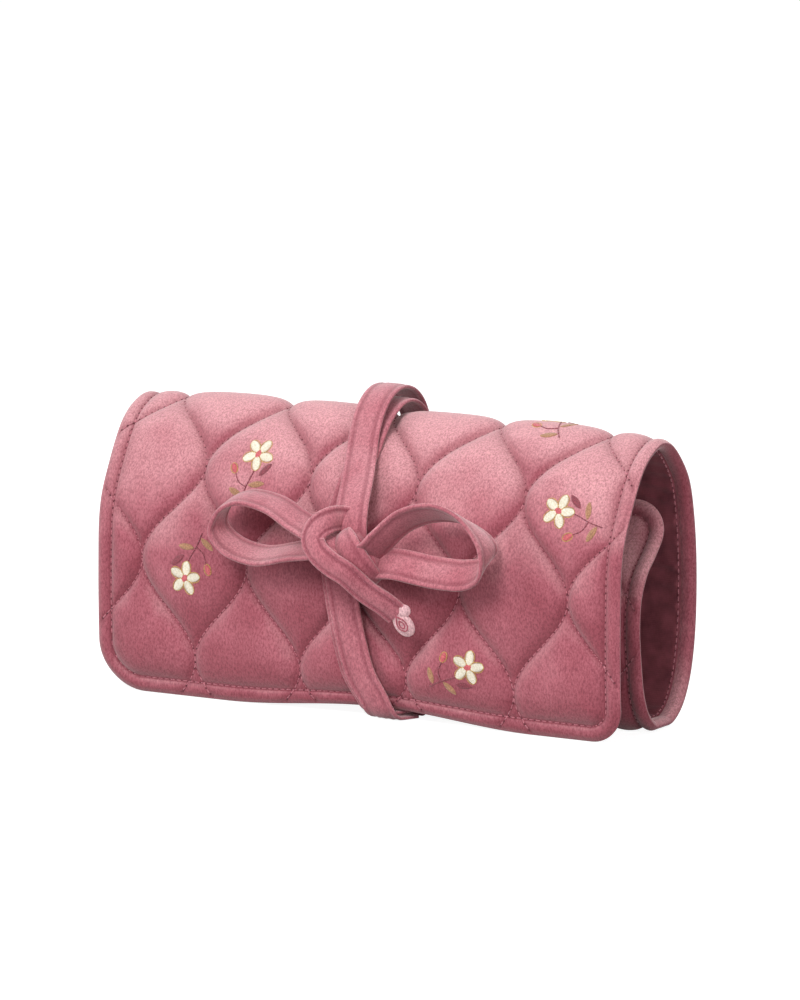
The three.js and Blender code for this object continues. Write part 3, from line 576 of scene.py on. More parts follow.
def math_node(nodes, links, operation, *values):
    node = nodes.new("ShaderNodeMath")
    node.operation = operation
    for socket, value in zip(node.inputs, values):
        feed(links, socket, value)
    return node.outputs["Value"]


def attribute_node(nodes, name):
    node = nodes.new("ShaderNodeAttribute")
    node.attribute_name = name
    return node.outputs["Fac"]


def new_material(name):
    material = bpy.data.materials.new(name)
    material.use_nodes = True
    nodes = material.node_tree.nodes
    shader = next(n for n in nodes if n.type == "BSDF_PRINCIPLED")
    return material, nodes, material.node_tree.links, shader


def place_node(nodes, links, scale, stretch=(1, 1, 1)):
    """Noise coordinates from the piece's own place, in millimetres."""
    where = nodes.new("ShaderNodeTexCoord")
    mapping = nodes.new("ShaderNodeMapping")
    mapping.inputs["Scale"].default_value = [s / MM / scale for s in stretch]
    links.new(where.outputs["Object"], mapping.inputs["Vector"])
    return mapping.outputs["Vector"]


def noise_node(nodes, links, scale, detail=2.0, roughness=0.5, stretch=(1, 1, 1)):
    """Noise whose features are about scale millimetres wide."""
    noise = nodes.new("ShaderNodeTexNoise")
    vector = place_node(nodes, links, scale, stretch)
    feed_all(links, noise, {"Scale": 1, "Detail": detail, "Roughness": roughness, "Vector": vector})
    return noise.outputs["Fac"]


def ramp_node(nodes, links, value, stops):
    ramp = nodes.new("ShaderNodeValToRGB")
    elements = ramp.color_ramp.elements
    for position, color in stops[1:-1]:
        elements.new(position)
    for element, (position, color) in zip(elements, stops):
        element.position = position
        element.color = (*color, 1)
    links.new(value, ramp.inputs["Fac"])
    return ramp.outputs["Color"]


def mix_node(nodes, links, factor, a, b, kind="MIX"):
    mix = nodes.new("ShaderNodeMix")
    mix.data_type = "RGBA"
    mix.blend_type = kind
    for socket, value in ((mix.inputs["Factor"], factor), (mix.inputs[6], a), (mix.inputs[7], b)):
        feed(links, socket, value)
    return mix.outputs[2]


def bump_node(nodes, links, shader, heights):
    """Stacks bumps, each a (height socket, distance in millimetres, strength)."""
    normal = None
    for height, distance, strength in heights:
        bump = nodes.new("ShaderNodeBump")
        bump.inputs["Distance"].default_value = distance * MM
        bump.inputs["Strength"].default_value = strength
        links.new(height, bump.inputs["Height"])
        if normal is not None:
            links.new(normal, bump.inputs["Normal"])
        normal = bump.outputs["Normal"]
    links.new(normal, shader.inputs["Normal"])


def srgb(red, green, blue):
    """A linear colour from the usual 0 to 255 values, none of them near black."""
    return tuple(((c / 255 + 0.055) / 1.055) ** 2.4 for c in (red, green, blue))


def velvet_material(name, pale, middle, deep, groove, sheen, sheen_color):
    """Pile with soft random patches and a fine grain; painted light pales its upward faces, and painted shade
    darkens its downward faces and its seams and grooves.
    """
    material, nodes, links, shader = new_material(name)
    patches = noise_node(nodes, links, 17, 2, 0.45)
    softened = math_node(nodes, links, "MULTIPLY_ADD", patches, 0.7, 0.02)
    # Painted light and shade: upward faces lean to the pale colour and downward ones to the deep colour,
    # mixed with random patches
    painted_light_and_patches = math_node(nodes, links, "MULTIPLY_ADD", attribute_node(nodes, "painted_top_light"), 0.8, softened)
    color = ramp_node(nodes, links, painted_light_and_patches, [(0.18, deep), (0.45, middle), (0.95, pale)])
    grain = noise_node(nodes, links, 0.6, 3, 0.7, (1, 1, 0.55))
    grain_stops = [(0.36, (0.68, 0.6, 0.63)), (0.5, (1, 1, 1)), (0.64, (1.25, 1.32, 1.3))]
    grain_color = ramp_node(nodes, links, grain, grain_stops)
    color = mix_node(nodes, links, 0.9, color, grain_color, "MULTIPLY")
    # Painted shade along the seams and grooves, towards the groove colour
    color = mix_node(nodes, links, attribute_node(nodes, "painted_groove_shade"), color, groove)
    feed_all(links, shader, {
        "Base Color": color, "Roughness": 0.92, "Specular IOR Level": 0.12,
        "Sheen Weight": sheen, "Sheen Roughness": 0.5, "Sheen Tint": sheen_color,
    })
    tufts = noise_node(nodes, links, 2.2, 3, 0.6)
    bump_node(nodes, links, shader, [(tufts, 0.35, 0.35), (grain, 0.22, 0.6)])
    return material


def woven_material(name, light, dark, thread):
    """A plain weave: threads crossing at a pitch, with soft streaks."""
    material, nodes, links, shader = new_material(name)
    streaks = noise_node(nodes, links, 7, 3, 0.55)
    color = ramp_node(nodes, links, streaks, [(0.3, dark), (0.7, light)])
    bands = []
    for direction in ("X", "Z"):
        wave = nodes.new("ShaderNodeTexWave")
        wave.bands_direction = direction
        vector = place_node(nodes, links, thread * 6.3)
        feed_all(links, wave, {"Scale": 1, "Distortion": 0.6, "Vector": vector})
        bands.append(wave.outputs["Fac"])
    both = math_node(nodes, links, "MULTIPLY", *bands)
    shade = ramp_node(nodes, links, both, [(0, (0.8, 0.8, 0.8)), (1, (1.12, 1.12, 1.12))])
    color = mix_node(nodes, links, 0.7, color, shade, "MULTIPLY")
    feed_all(links, shader, {
        "Base Color": color, "Roughness": 0.75, "Specular IOR Level": 0.25, "Sheen Weight": 0.15,
    })
    bump_node(nodes, links, shader, [(streaks, 0.5, 0.4), (both, 0.1, 0.5)])
    return material


def thread_material(name, light, dark, sheen=0.4):
    """Twisted thread, with light and dark flecks along its twist."""
    material, nodes, links, shader = new_material(name)
    twist = noise_node(nodes, links, 0.5, 2, 0.5)
    color = ramp_node(nodes, links, twist, [(0.35, dark), (0.65, light)])
    feed_all(links, shader, {"Base Color": color, "Roughness": 0.5, "Sheen Weight": sheen})
    bump_node(nodes, links, shader, [(twist, 0.08, 0.5)])
    return material


def metal_material(name, light, dark):
    """Polished plating with faint wear."""
    material, nodes, links, shader = new_material(name)
    wear = noise_node(nodes, links, 3, 4, 0.6)
    color = ramp_node(nodes, links, wear, [(0.3, dark), (0.6, light)])
    rough = nodes.new("ShaderNodeMapRange")
    feed_all(links, rough, {"Value": wear, "To Min": 0.2, "To Max": 0.38})
    feed_all(links, shader, {"Base Color": color, "Metallic": 1, "Roughness": rough.outputs["Result"]})
    bump_node(nodes, links, shader, [(noise_node(nodes, links, 0.4), 0.02, 0.2)])
    return material


# Of each velvet's colours, the pale one is partly painted light on upward faces and the deep one partly
# painted shade on downward faces
# The fourth colour of each velvet is painted shade in its seams and grooves
velvet = velvet_material(
    "rose_velvet", srgb(206, 146, 152), srgb(170, 94, 106), srgb(148, 72, 84), srgb(112, 42, 54),
    0.6, srgb(255, 240, 240),
)
strap_velvet = velvet_material(
    "strap_velvet", srgb(214, 156, 162), srgb(178, 104, 115), srgb(150, 76, 88), srgb(120, 48, 62),
    0.6, srgb(255, 242, 242),
)
tip_cloth = velvet_material(
    "tip_satin", srgb(234, 196, 198), srgb(226, 182, 186), srgb(212, 158, 166), srgb(180, 92, 110),
    0.5, srgb(255, 238, 238),
)
lining = woven_material("rose_lining", srgb(150, 78, 88), srgb(112, 54, 64), 0.32)
tape_cloth = woven_material("tape_weave", srgb(150, 80, 94), srgb(120, 58, 70), 0.45)
seam_thread = thread_material("seam_thread", srgb(198, 118, 130), srgb(150, 70, 86))
strap_thread = thread_material("strap_thread", srgb(170, 84, 100), srgb(128, 50, 68))
tip_thread = thread_material("tip_thread", srgb(190, 88, 106), srgb(158, 60, 80))
sprig_cream = thread_material("cream_thread", srgb(240, 234, 218), srgb(216, 206, 182))
sprig_gold = thread_material("gold_thread", srgb(206, 168, 78), srgb(160, 122, 48))
sprig_coral = thread_material("coral_thread", srgb(212, 98, 104), srgb(172, 66, 76))
sprig_burgundy = thread_material("burgundy_thread", srgb(146, 52, 68), srgb(108, 32, 48))
sprig_bronze = thread_material("bronze_thread", srgb(186, 138, 98), srgb(146, 100, 68))
# Painted shade: the dark colour of the needle holes and of the lines at the bottoms of the grooves
hole_shade = thread_material("painted_hollow_shade", srgb(112, 38, 52), srgb(86, 26, 40), 0)
coil_plastic = thread_material("coil_plastic", srgb(186, 112, 126), srgb(158, 88, 104), 0)
gilt = metal_material("gilt", srgb(226, 188, 118), srgb(202, 160, 92))


# Grids of the sheet

def stops_to(from_value, to_value, step):
    return np.linspace(from_value, to_value, max(2, int(math.ceil(abs(to_value - from_value) / step)) + 1))


def rim_stops(reach, steps=7):
    return reach * (1 - np.cos(np.linspace(0, math.pi / 2, steps)))


def edge_stops(inner, step):
    """Stops from a free edge inwards, close together at the rim."""
    return np.concatenate([rim_stops(rim_reach), stops_to(rim_reach, inner, step)[1:]])


splits = [
    0,
    (flap_fold_share + top_fold_share) / 2 * sheet_length,
    (top_fold_share + back_fold_share) / 2 * sheet_length,
    (back_fold_share + inner_flap_fold_share) / 2 * sheet_length,
    sheet_length,
]
fold_pairs = [("flap", "top"), ("top", "back"), ("back", "bottom"), ("bottom", "inner_flap")]
folds = [flap_fold_share, top_fold_share, back_fold_share, inner_flap_fold_share]
fold_reach = [9.0, 9.0, 9.0, 7.0]


def sheet_rows(inset, step):
    """Rows along the section from one free end to the other, with a row at each split, and the split rows."""
    ends = edge_stops(left_corner_radius, min(step, 0.8)) + inset
    rows = [ends]
    marks = [0]
    inner_start = ends[-1]
    for i, (a, b) in enumerate(zip(splits, splits[1:])):
        low = inner_start if i == 0 else a
        high = sheet_length - inner_start if i == len(splits) - 2 else b
        rows.append(stops_to(low, high, step)[1:])
        marks.append(sum(len(r) for r in rows) - 1)
    rows.append(sheet_length - ends[::-1][1:])
    marks[-1] = sum(len(r) for r in rows) - 1
    return np.concatenate(rows), marks


def sheet_columns(v, inset, step):
    """For each row, columns from the left edge to the right edge, close together at the rims."""
    half = roll_length / 2 - inset
    rim = rim_stops(rim_reach)
    inner = stops_to(-half + rim_reach, half - rim_reach, step)
    base = np.concatenate([-half + rim[:-1], inner, half - rim[::-1][1:]])
    end = np.minimum(v - inset, sheet_length - inset - v)
    grid = np.empty((len(v), len(base)))
    drawn = []
    for radius in (left_corner_radius - inset, right_corner_radius - inset):
        short = np.clip(radius - end, 0, radius)
        drawn.append(radius - np.sqrt(np.maximum(radius**2 - short**2, 0)))
    for sign, shift, columns in ((-1, drawn[0], base < 0), (1, drawn[1], base >= 0)):
        weight = np.clip((np.abs(base) - (half - corner_ease)) / corner_ease, 0, 1)
        weight = np.where(np.abs(base) > half - rim_reach, 1, weight / (1 - rim_reach / corner_ease))
        weight = np.clip(weight, 0, 1)
        grid[:, columns] = base[columns][None] - sign * shift[:, None] * weight[columns][None]
    return grid


def sheet_grid(inset, step):
    """Places u and v of a grid over the sheet, and its rows at the ends and splits."""
    rows, marks = sheet_rows(inset, step)
    u = sheet_columns(rows, inset, step)
    return u, np.repeat(rows[:, None], u.shape[1], axis=1), marks


# Painted shade: dark along each seam and the border's groove, with a wider soft valley of shade beside them
def painted_groove_shade_value(u, v):
    edge = edge_distance(u, v)
    seam = seam_distance(u, v)
    groove = np.exp(-((edge - border_width) ** 2) / 0.5)
    valley = 0.4 * np.exp(-np.minimum(seam, np.abs(edge - border_width)) / 2.2) * (edge > 1)
    return np.clip(np.maximum(np.maximum(np.exp(-seam / 0.55) * (edge > 1), groove) * 0.78, valley), 0, 1)


u, v, marks = sheet_grid(0, grid_step)
velvet_outer = on_sheet(u, v, outer_depth(u, v))
velvet_inner = on_sheet(u, v, inner_depth(u, v))
# Painted shade along the seams and grooves of the outer face; none on the inner face
painted_groove_shade = painted_groove_shade_value(u, v)
sheet_shell = Shell(velvet_outer, velvet_inner, {"painted_groove_shade": (painted_groove_shade, np.zeros_like(painted_groove_shade))})
# Painted light: how far each face points up, so that upward faces are paler and downward ones darker
sheet_shell.values["painted_top_light"] = (sheet_shell.outward[..., 2], sheet_shell.inward[..., 2])


def fold_points(i):
    """Start and end of the bend across fold i, in metres."""
    at = folds[i] * sheet_length
    ends = [on_sheet(0, at + side * fold_reach[i], 0) * MM for side in (-1, 1)]
    return [Vector(p) for p in ends]


def bend(piece, i):
    """Bakes a piece's transform into its mesh; it finds the ends of the bend across fold i but does not bend
    the piece.
    """
    start, end = fold_points(i)
    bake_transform(piece)


for i, (a, b) in enumerate(fold_pairs):
    piece = sheet_shell.piece(f"quilted_velvet_{a}_{b}", marks[i], marks[i + 1], [velvet])
    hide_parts(f"{a}_quilt", f"{b}_quilt")
    bend(piece, i)


# Lining

def pucker_height(u, v):
    """Creases that run in from the stitched edge, and soft hollows across the rest."""
    edge = edge_distance(u, v)
    height = np.zeros_like(u)
    creases = np.random.default_rng(11)
    for side in (-1, 1):
        at = 6.0
        while at < sheet_length - 6:
            length = creases.uniform(*pucker["length"])
            tall = creases.uniform(*pucker["tall"])
            tilt = creases.uniform(*pucker["tilt"])
            wide = creases.uniform(*pucker["wide"])
            inward = roll_length / 2 - side * u - lining_edge
            off = (v - at - tilt * inward) / wide
            fade = np.clip(inward / 1.5, 0, 1) * np.exp(-np.clip(inward, 0, None) / length)
            height = height + np.where(np.abs(off) < 5, tall * np.exp(-off**2) * fade, 0)
            at += creases.uniform(*pucker["gap"])
    for start, end in pocket_stretches:
        height = height * (1 - 0.85 * np.clip((v - start) / 4, 0, 1) * np.clip((end - v) / 4, 0, 1))
    soft = np.sin(u * 0.083 + 0.7) * np.sin(v * 0.121 + 0.3) + 0.6 * np.sin(u * 0.21 + v * 0.09)
    height = height + 0.12 * soft * np.clip((edge - lining_edge) / 6, 0, 1)
    return height


u_in, v_in, marks_in = sheet_grid(lining_edge, grid_step * 1.25)
tuck = np.clip(1 - (edge_distance(u_in, v_in) - lining_edge) / tuck_reach, 0, 1)
lining_hidden = on_sheet(u_in, v_in, lining_back + tuck_depth * tuck)
shown_depth = lining_face + pucker_height(u_in, v_in) - tuck**2 * (lining_face - lining_back - tuck_depth)
lining_shown = on_sheet(u_in, v_in, shown_depth)
lining_shell = Shell(lining_hidden, lining_shown, {})
for i, (a, b) in enumerate(fold_pairs):
    piece = lining_shell.piece(f"lining_{a}_{b}", marks_in[i], marks_in[i + 1], [lining])
    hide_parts(f"{a}_lining", f"{b}_lining")
    bend(piece, i)


# Stitches

thread_sides = 5


def corner_angles(sides):
    """Angles of the corners of a round section."""
    return np.arange(sides) / sides * 2 * math.pi


def capsule(start, end, radius):
    """A short thread from one point to another, fuller in its middle."""
    axis = end - start
    length = np.linalg.norm(axis)
    axis = axis / length
    side = unit(np.cross(axis, [0.3, 0.5, 0.81]))
    up = np.cross(axis, side)
    angles = corner_angles(thread_sides)
    circle = np.cos(angles)[:, None] * side + np.sin(angles)[:, None] * up
    rings = [
        start + axis * length * way + circle * radius * size
        for way, size in ((0.0, 0.4), (0.14, 0.9), (0.5, 1), (0.86, 0.9), (1.0, 0.4))
    ]
    return loft(rings)


stitch_length = 1.75
stitch_gap = 0.75
thread_radius = 0.24
hole_radius = 0.36
hole_sides = 6
groove_line_radius = 0.2


def stitch_places(path, depth_of):
    """(start, end, middle v) of each stitch along a path of (u, v) on the sheet."""
    path = np.asarray(path)
    points = on_sheet(path[:, 0], path[:, 1], 0)
    way = lengths_along(points)
    found = []
    at = stitch_gap
    while at + stitch_length < way[-1]:
        us, vs = resampled(path, way, [at, at + stitch_length]).T
        found.append((*on_sheet(us, vs, depth_of(us, vs)), vs.mean()))
        at += stitch_length + stitch_gap
    return found


def outline_path(inset):
    """The closed path that runs at one distance inside the sheet's outline."""
    half = roll_length / 2
    corners = [
        (-1, 0, left_corner_radius), (1, 0, right_corner_radius),
        (1, 1, right_corner_radius), (-1, 1, left_corner_radius),
    ]
    path = []
    for side, end, radius in corners:
        centre_u = side * (half - radius)
        centre_v = radius if end == 0 else sheet_length - radius
        first = {(-1, 0): 180, (1, 0): 270, (1, 1): 0, (-1, 1): 90}[(side, end)]
        for angle in np.radians(np.linspace(first, first + 90, 12)):
            reach = radius - inset
            path.append((centre_u + reach * math.cos(angle), centre_v + reach * math.sin(angle)))
    path.append(path[0])
    path = np.array(path)
    way = lengths_along(path)
    return resampled(path, way, np.arange(0, way[-1], path_step))


stitches = {i: [] for i in range(4)}


def painted_hollow_shade(place):
    """Painted shade of a needle hole: a small dark flattened bead that sits in the groove."""
    angles = corner_angles(hole_sides)
    circle = np.stack([np.cos(angles), np.zeros(hole_sides), np.sin(angles)], axis=-1)
    shape = ((0.6, -0.7), (1, 0), (0.6, 0.7))
    rings = [place + circle * hole_radius * size + [0, y * hole_radius, 0] for size, y in shape]
    return loft(rings)


def zone_of(at):
    return min(3, int(np.searchsorted(splits, at, side="right")) - 1)


def sew(places, radius):
    """Adds the threads of stitches, and a dark bead of painted shade for the needle hole that each starts
    from.
    """
    for start, end, at in places:
        zone = stitches[zone_of(at)]
        points, faces = capsule(start, end, radius)
        zone.append((points, faces, 0))
        points, faces = painted_hollow_shade(start - unit(end - start) * stitch_gap / 2)
        zone.append((points, faces, 1))


def groove_line(path):
    """The shaded bottom of a seam's groove, as a thin line along a path of (u, v)."""
    us, vs = np.asarray(path).T
    points, _, _, outward = sheet_frame(us, vs, outer_depth(us, vs) + groove_line_radius * 0.2)
    angles = corner_angles(thread_sides)
    tangent = unit(np.gradient(points, axis=0))
    aside = unit(np.cross(tangent, outward))
    rings = points[:, None] + groove_line_radius * (
        np.cos(angles)[None, :, None] * aside[:, None] + np.sin(angles)[None, :, None] * outward[:, None]
    )
    return rings, vs


def shade_groove(path):
    """Adds a groove's line, in one stretch for each pair of zones that it crosses."""
    rings, vs = groove_line(path)
    zones = np.array([zone_of(v) for v in vs])
    for zone in np.unique(zones):
        held = np.flatnonzero(zones == zone)
        for run in np.split(held, np.flatnonzero(np.diff(held) > 1) + 1):
            if len(run) > 2:
                first, last = run[0], min(run[-1] + 1, len(rings) - 1)
                points, faces = loft(rings[first : last + 1])
                stitches[zone].append((points, outward_faces(points, faces), 1))


groove_lift = 0.15
for k in range(-6, 7):
    path_v = np.arange(0, sheet_length, 0.8)
    path_u = seam_x(np.full_like(path_v, k), path_v)
    inside = (edge_distance(path_u, path_v) > 1.5) & (np.abs(path_u) < roll_length / 2)
    bounds = np.flatnonzero(np.diff(np.concatenate([[0], inside.astype(int), [0]])))
    for first, last in zip(bounds[::2], bounds[1::2]):
        if last - first > 5:
            path = np.stack([path_u[first:last], path_v[first:last]], axis=-1)
            shade_groove(path)
            sew(stitch_places(path, lambda a, b: outer_depth(a, b) - groove_lift), thread_radius)
border_path = outline_path(border_width)
shade_groove(border_path)
sew(stitch_places(border_path, lambda a, b: outer_depth(a, b) - groove_lift), thread_radius)
inner_path = outline_path(border_width + 0.4)
sew(stitch_places(inner_path, lambda a, b: np.full_like(a, lining_face + 0.2)), thread_radius)
for i, (a, b) in enumerate(fold_pairs):
    piece = merged(f"stitches_{a}_{b}", stitches[i], [seam_thread, hole_shade])
    bend(piece, i)


# Embroidered sprigs: a flower, a stem, two leaves and a bud, in raised satin thread

def turned(points, angle):
    cos, sin = math.cos(angle), math.sin(angle)
    return np.asarray(points) @ np.array([[cos, sin], [-sin, cos]])


def leaf_half(way, half_width, blunt):
    """Half the width of a leaf, at shares of the way from its middle to its ends."""
    return half_width * (1 - np.abs(way) ** 2.2) ** (0.75 / blunt)


def satin_leaf(half_length, half_width, blunt=1.0):
    """Threads across a leaf that lies along its first axis: pairs of ends."""
    stops = np.arange(-half_length + satin_pitch / 2, half_length, satin_pitch)
    half = leaf_half(stops / half_length, half_width, blunt)
    return [((at - 0.25 * h, -h), (at + 0.25 * h, h)) for at, h in zip(stops, half)]


def outline_threads(half_length, half_width, blunt=1.0):
    """Short threads round a leaf."""
    way = np.linspace(-1, 1, 9)
    top = np.stack([way * half_length, leaf_half(way, half_width, blunt)], axis=-1)
    ring = np.vstack([top, (top * [1, -1])[::-1][1:]])
    return list(zip(ring, ring[1:]))


def chain_threads(points):
    line = catmull_rom(points, 6)[::2]
    return list(zip(line, line[1:]))


def sprig():
    """Threads of one sprig about its middle: (start, end, radius, thread number)."""
    made = []

    def add(threads, middle, angle, number, radius=satin_radius):
        for pair in threads:
            start, end = turned(pair, angle) + middle
            made.append((start, end, radius, number))

    flower = np.array([3.2, 4.6])
    stem = [(-7.5, -9.5), (-4.5, -5.5), (-1.6, -2.8), (0.3, -0.8)]
    add(chain_threads(stem), (0, 0), 0, 3, 0.3)
    add(chain_threads([(-4.2, -5.2), (-6.4, -2.2), (-6.6, 1.6)]), (0, 0), 0, 3, 0.26)
    for middle, angle, number in (((-0.2, -6.0), -0.35, 4), ((4.4, -2.2), 0.35, 3), ((-8.6, -5.2), 2.2, 4)):
        add(satin_leaf(3.1, 1.15), middle, angle, number)
    add(satin_leaf(1.9, 1.1, 1.4), (-6.7, 3.4), math.pi / 2, 2)
    add(outline_threads(2.1, 1.3, 1.4), (-6.7, 3.4), math.pi / 2, 1, 0.18)
    for petal in range(5):
        angle = petal * 2 * math.pi / 5 + 0.5
        middle = flower + np.array([math.cos(angle), math.sin(angle)]) * 3.5
        add(satin_leaf(2.5, 1.6, 1.5), middle, angle, 0)
        add(outline_threads(2.75, 1.85, 1.5), middle, angle, 1, 0.18)
    add(satin_leaf(1.25, 1.2, 2), flower, 0.4, 2, 0.3)
    return made


def sprig_places():
    """Middles of the cells of the quilting that hold a sprig, in a staggered layout."""
    places = [(-43.8, 83, 0.5), (41.8, 19, -0.4), (84.6, 78, 2.0), (-65.2, 48.3, 3.4), (63.2, 117.3, 1.2)]
    for n in range(3, 11):
        middle_v = pinch_v + seam_period / 2 * n
        shift = seam_pitch / 2 * ((n + 1) % 2)
        for m in range(-2, 3):
            u = pinch_x + shift + seam_pitch * m
            clear = edge_distance(np.array(u), np.array(middle_v)) > sprig_reach
            if clear and (2 * m + n) % 4 == 1 and middle_v > 140:
                places.append((u, middle_v, 0.9 * m + 1.7 * n))
    return places


embroidery = {i: [] for i in range(4)}
for middle_u, middle_v, angle in sprig_places():
    for start, end, radius, number in sprig():
        ends = turned([start, end], angle) + (middle_u, middle_v)
        ends_3d = on_sheet(ends[:, 0], ends[:, 1], outer_depth(ends[:, 0], ends[:, 1]) - satin_lift)
        points, faces = capsule(ends_3d[0], ends_3d[1], radius)
        embroidery[zone_of(middle_v)].append((points, faces, number))
thread_colours = [sprig_cream, sprig_gold, sprig_coral, sprig_burgundy, sprig_bronze]
for i, (a, b) in enumerate(fold_pairs):
    if embroidery[i]:
        piece = merged(f"embroidery_{a}_{b}", embroidery[i], thread_colours)
        bend(piece, i)


# Strap and bow

strap_profile_turns = 36
strap_groove_width = 0.45
strap_groove_depth = 0.42
strap_thread_radius = 0.2
# How strongly painted light pales the straps' upward faces
strap_painted_light = 0.25


def stitch_inset(width):
    """How far a strap's stitches lie from its edges."""
    return strap_stitch_inset if width == strap_width else tail_stitch_inset


def strap_profile(width, thickness):
    """The strap's section: full in the middle, with a stitched groove near each edge."""
    turns = corner_angles(strap_profile_turns)
    across = np.sign(np.cos(turns)) * np.abs(np.cos(turns)) ** 0.5
    thick = np.sign(np.sin(turns)) * np.abs(np.sin(turns)) ** 0.5
    x = across * width / 2
    groove = np.exp(-(((np.abs(x) - (width / 2 - stitch_inset(width))) / strap_groove_width) ** 2))
    y = thick * (thickness / 2 - strap_groove_depth * groove) * (1 + 0.12 * np.cos(across * math.pi / 2))
    return np.stack([x, y], axis=-1)


# Painted shade in the strap's stitched grooves
def profile_painted_shade(width, thickness):
    x = strap_profile(width, thickness)[:, 0]
    return np.exp(-(((np.abs(x) - (width / 2 - stitch_inset(width))) / 0.42) ** 2)) * 0.95


def topstitches(place, width, thickness):
    """Threads in the grooves on both faces of a strap."""
    threads = []
    for side in (-1, 1):
        for face in (-1, 1):
            aside = np.array([side * (width / 2 - stitch_inset(width))])
            line = place(aside, np.array([face * (thickness / 2 - strap_groove_depth)]))[:, 0]
            way = lengths_along(line)
            starts = np.arange(stitch_gap, way[-1] - stitch_length - stitch_gap, stitch_length + stitch_gap)
            for at in starts:
                start, end = resampled(line, way, (at, at + stitch_length))
                threads.append((*capsule(start, end, strap_thread_radius), 1))
    return threads


def ribbon(name, place, width=strap_width, thickness=strap_thickness, closed=False):
    """A strap with its stitches; place gives its points from offsets across it and above its middle."""
    profile = strap_profile(width, thickness)
    rings = place(profile[:, 0], profile[:, 1])
    points, faces = loft(rings, closed, crisp=not closed)
    faces = outward_faces(points, faces)
    # Painted shade in the stitched grooves, along the whole strap
    painted_groove_shade = np.tile(profile_painted_shade(width, thickness), len(rings))
    points, faces, numbers = merge([(points, faces, 0), *topstitches(place, width, thickness)])
    facing = unit(grid_normals(np.concatenate([rings[:, -1:], rings, rings[:, :1]], axis=1))[:, 1:-1])
    away = rings - rings.mean(1, keepdims=True)
    facing *= np.sign(np.einsum("ijk,ijk->", facing, away))
    # Painted light on the strap's upward faces, weaker than on the sheet
    values = {"painted_groove_shade": painted_groove_shade, "painted_top_light": strap_painted_light * facing[..., 2].ravel()}
    values = {key: np.concatenate([held, np.zeros(len(points) - len(held))]) for key, held in values.items()}
    materials = [strap_velvet, strap_thread]
    piece = make_mesh(name, points, faces, materials, face_materials=numbers, values=values)
    return piece


def framed(centres, wide, thick):
    """Places about a line of centres, along its own directions of width and thickness."""
    return lambda across, height: (
        centres[:, None] + wide[:, None] * across[:, None] + thick[:, None] * height[:, None]
    )


def laid(us, vs, along, level_of):
    """Places about a path of (u, v) whose strap lies on the roll, at a level above its face."""

    def place(across, height):
        u_at = us[:, None] + along[:, 1:] * across
        v_at = vs[:, None] - along[:, :1] * across
        return above_sheet(u_at, v_at, level_of(v_at) + height)

    return place


def wide_frames(centres, lean):
    """Directions of a strap's width, as near as can be to lean, and of its thickness."""
    tangent = unit(np.gradient(centres, axis=0))
    wide = unit(lean - tangent * np.sum(lean * tangent, axis=1)[:, None])
    return wide, np.cross(tangent, wide)


def strap_level(v, strand, base):
    """Height of a strand above the sheet's face: it bridges the top and rises to the knot."""
    start = flap_fold_share * sheet_length - 2
    end = top_fold_share * sheet_length + 2
    bridge = strap_arch[strand] * np.sin(math.pi * np.clip((v - start) / (end - start), 0, 1)) ** 1.6
    way = np.clip(1 - (v - knot_v) / strap_rise_length, 0, 1)
    return base + bridge + strap_rise[strand] * way**2 * (3 - 2 * way)


def above_sheet(u, v, level):
    """The point at a level above the sheet's face, which below the flap's rim turns under its hem."""
    u, v, level = np.broadcast_arrays(u, v, level)
    point, _, _, outward = sheet_frame(u, np.maximum(v, rim_reach), np.zeros_like(v))
    past = np.maximum(rim_reach - v, 0)
    turn = np.minimum(past / hem_radius, math.pi / 2)
    hem_y = np.interp(rim_reach, section_v, section[:, 0])
    y = hem_y + rim_depth - (rim_depth + level) * np.cos(turn) + past - turn * hem_radius
    under = cinch(np.stack([u, y, rim_reach - (rim_depth + level) * np.sin(turn)], axis=-1))
    under[..., 1] -= frame_shift
    return np.where((v < rim_reach)[..., None], under, point + outward * level[..., None])


def strap_path(stops, route):
    """Places of a strand along its route, and its direction there, as (u, v)."""
    us = strap_x(np.maximum(stops, rim_reach), route) + hem_slant * np.maximum(rim_reach - stops, 0)
    return us, unit(np.stack([np.gradient(us), np.gradient(stops)], axis=-1))


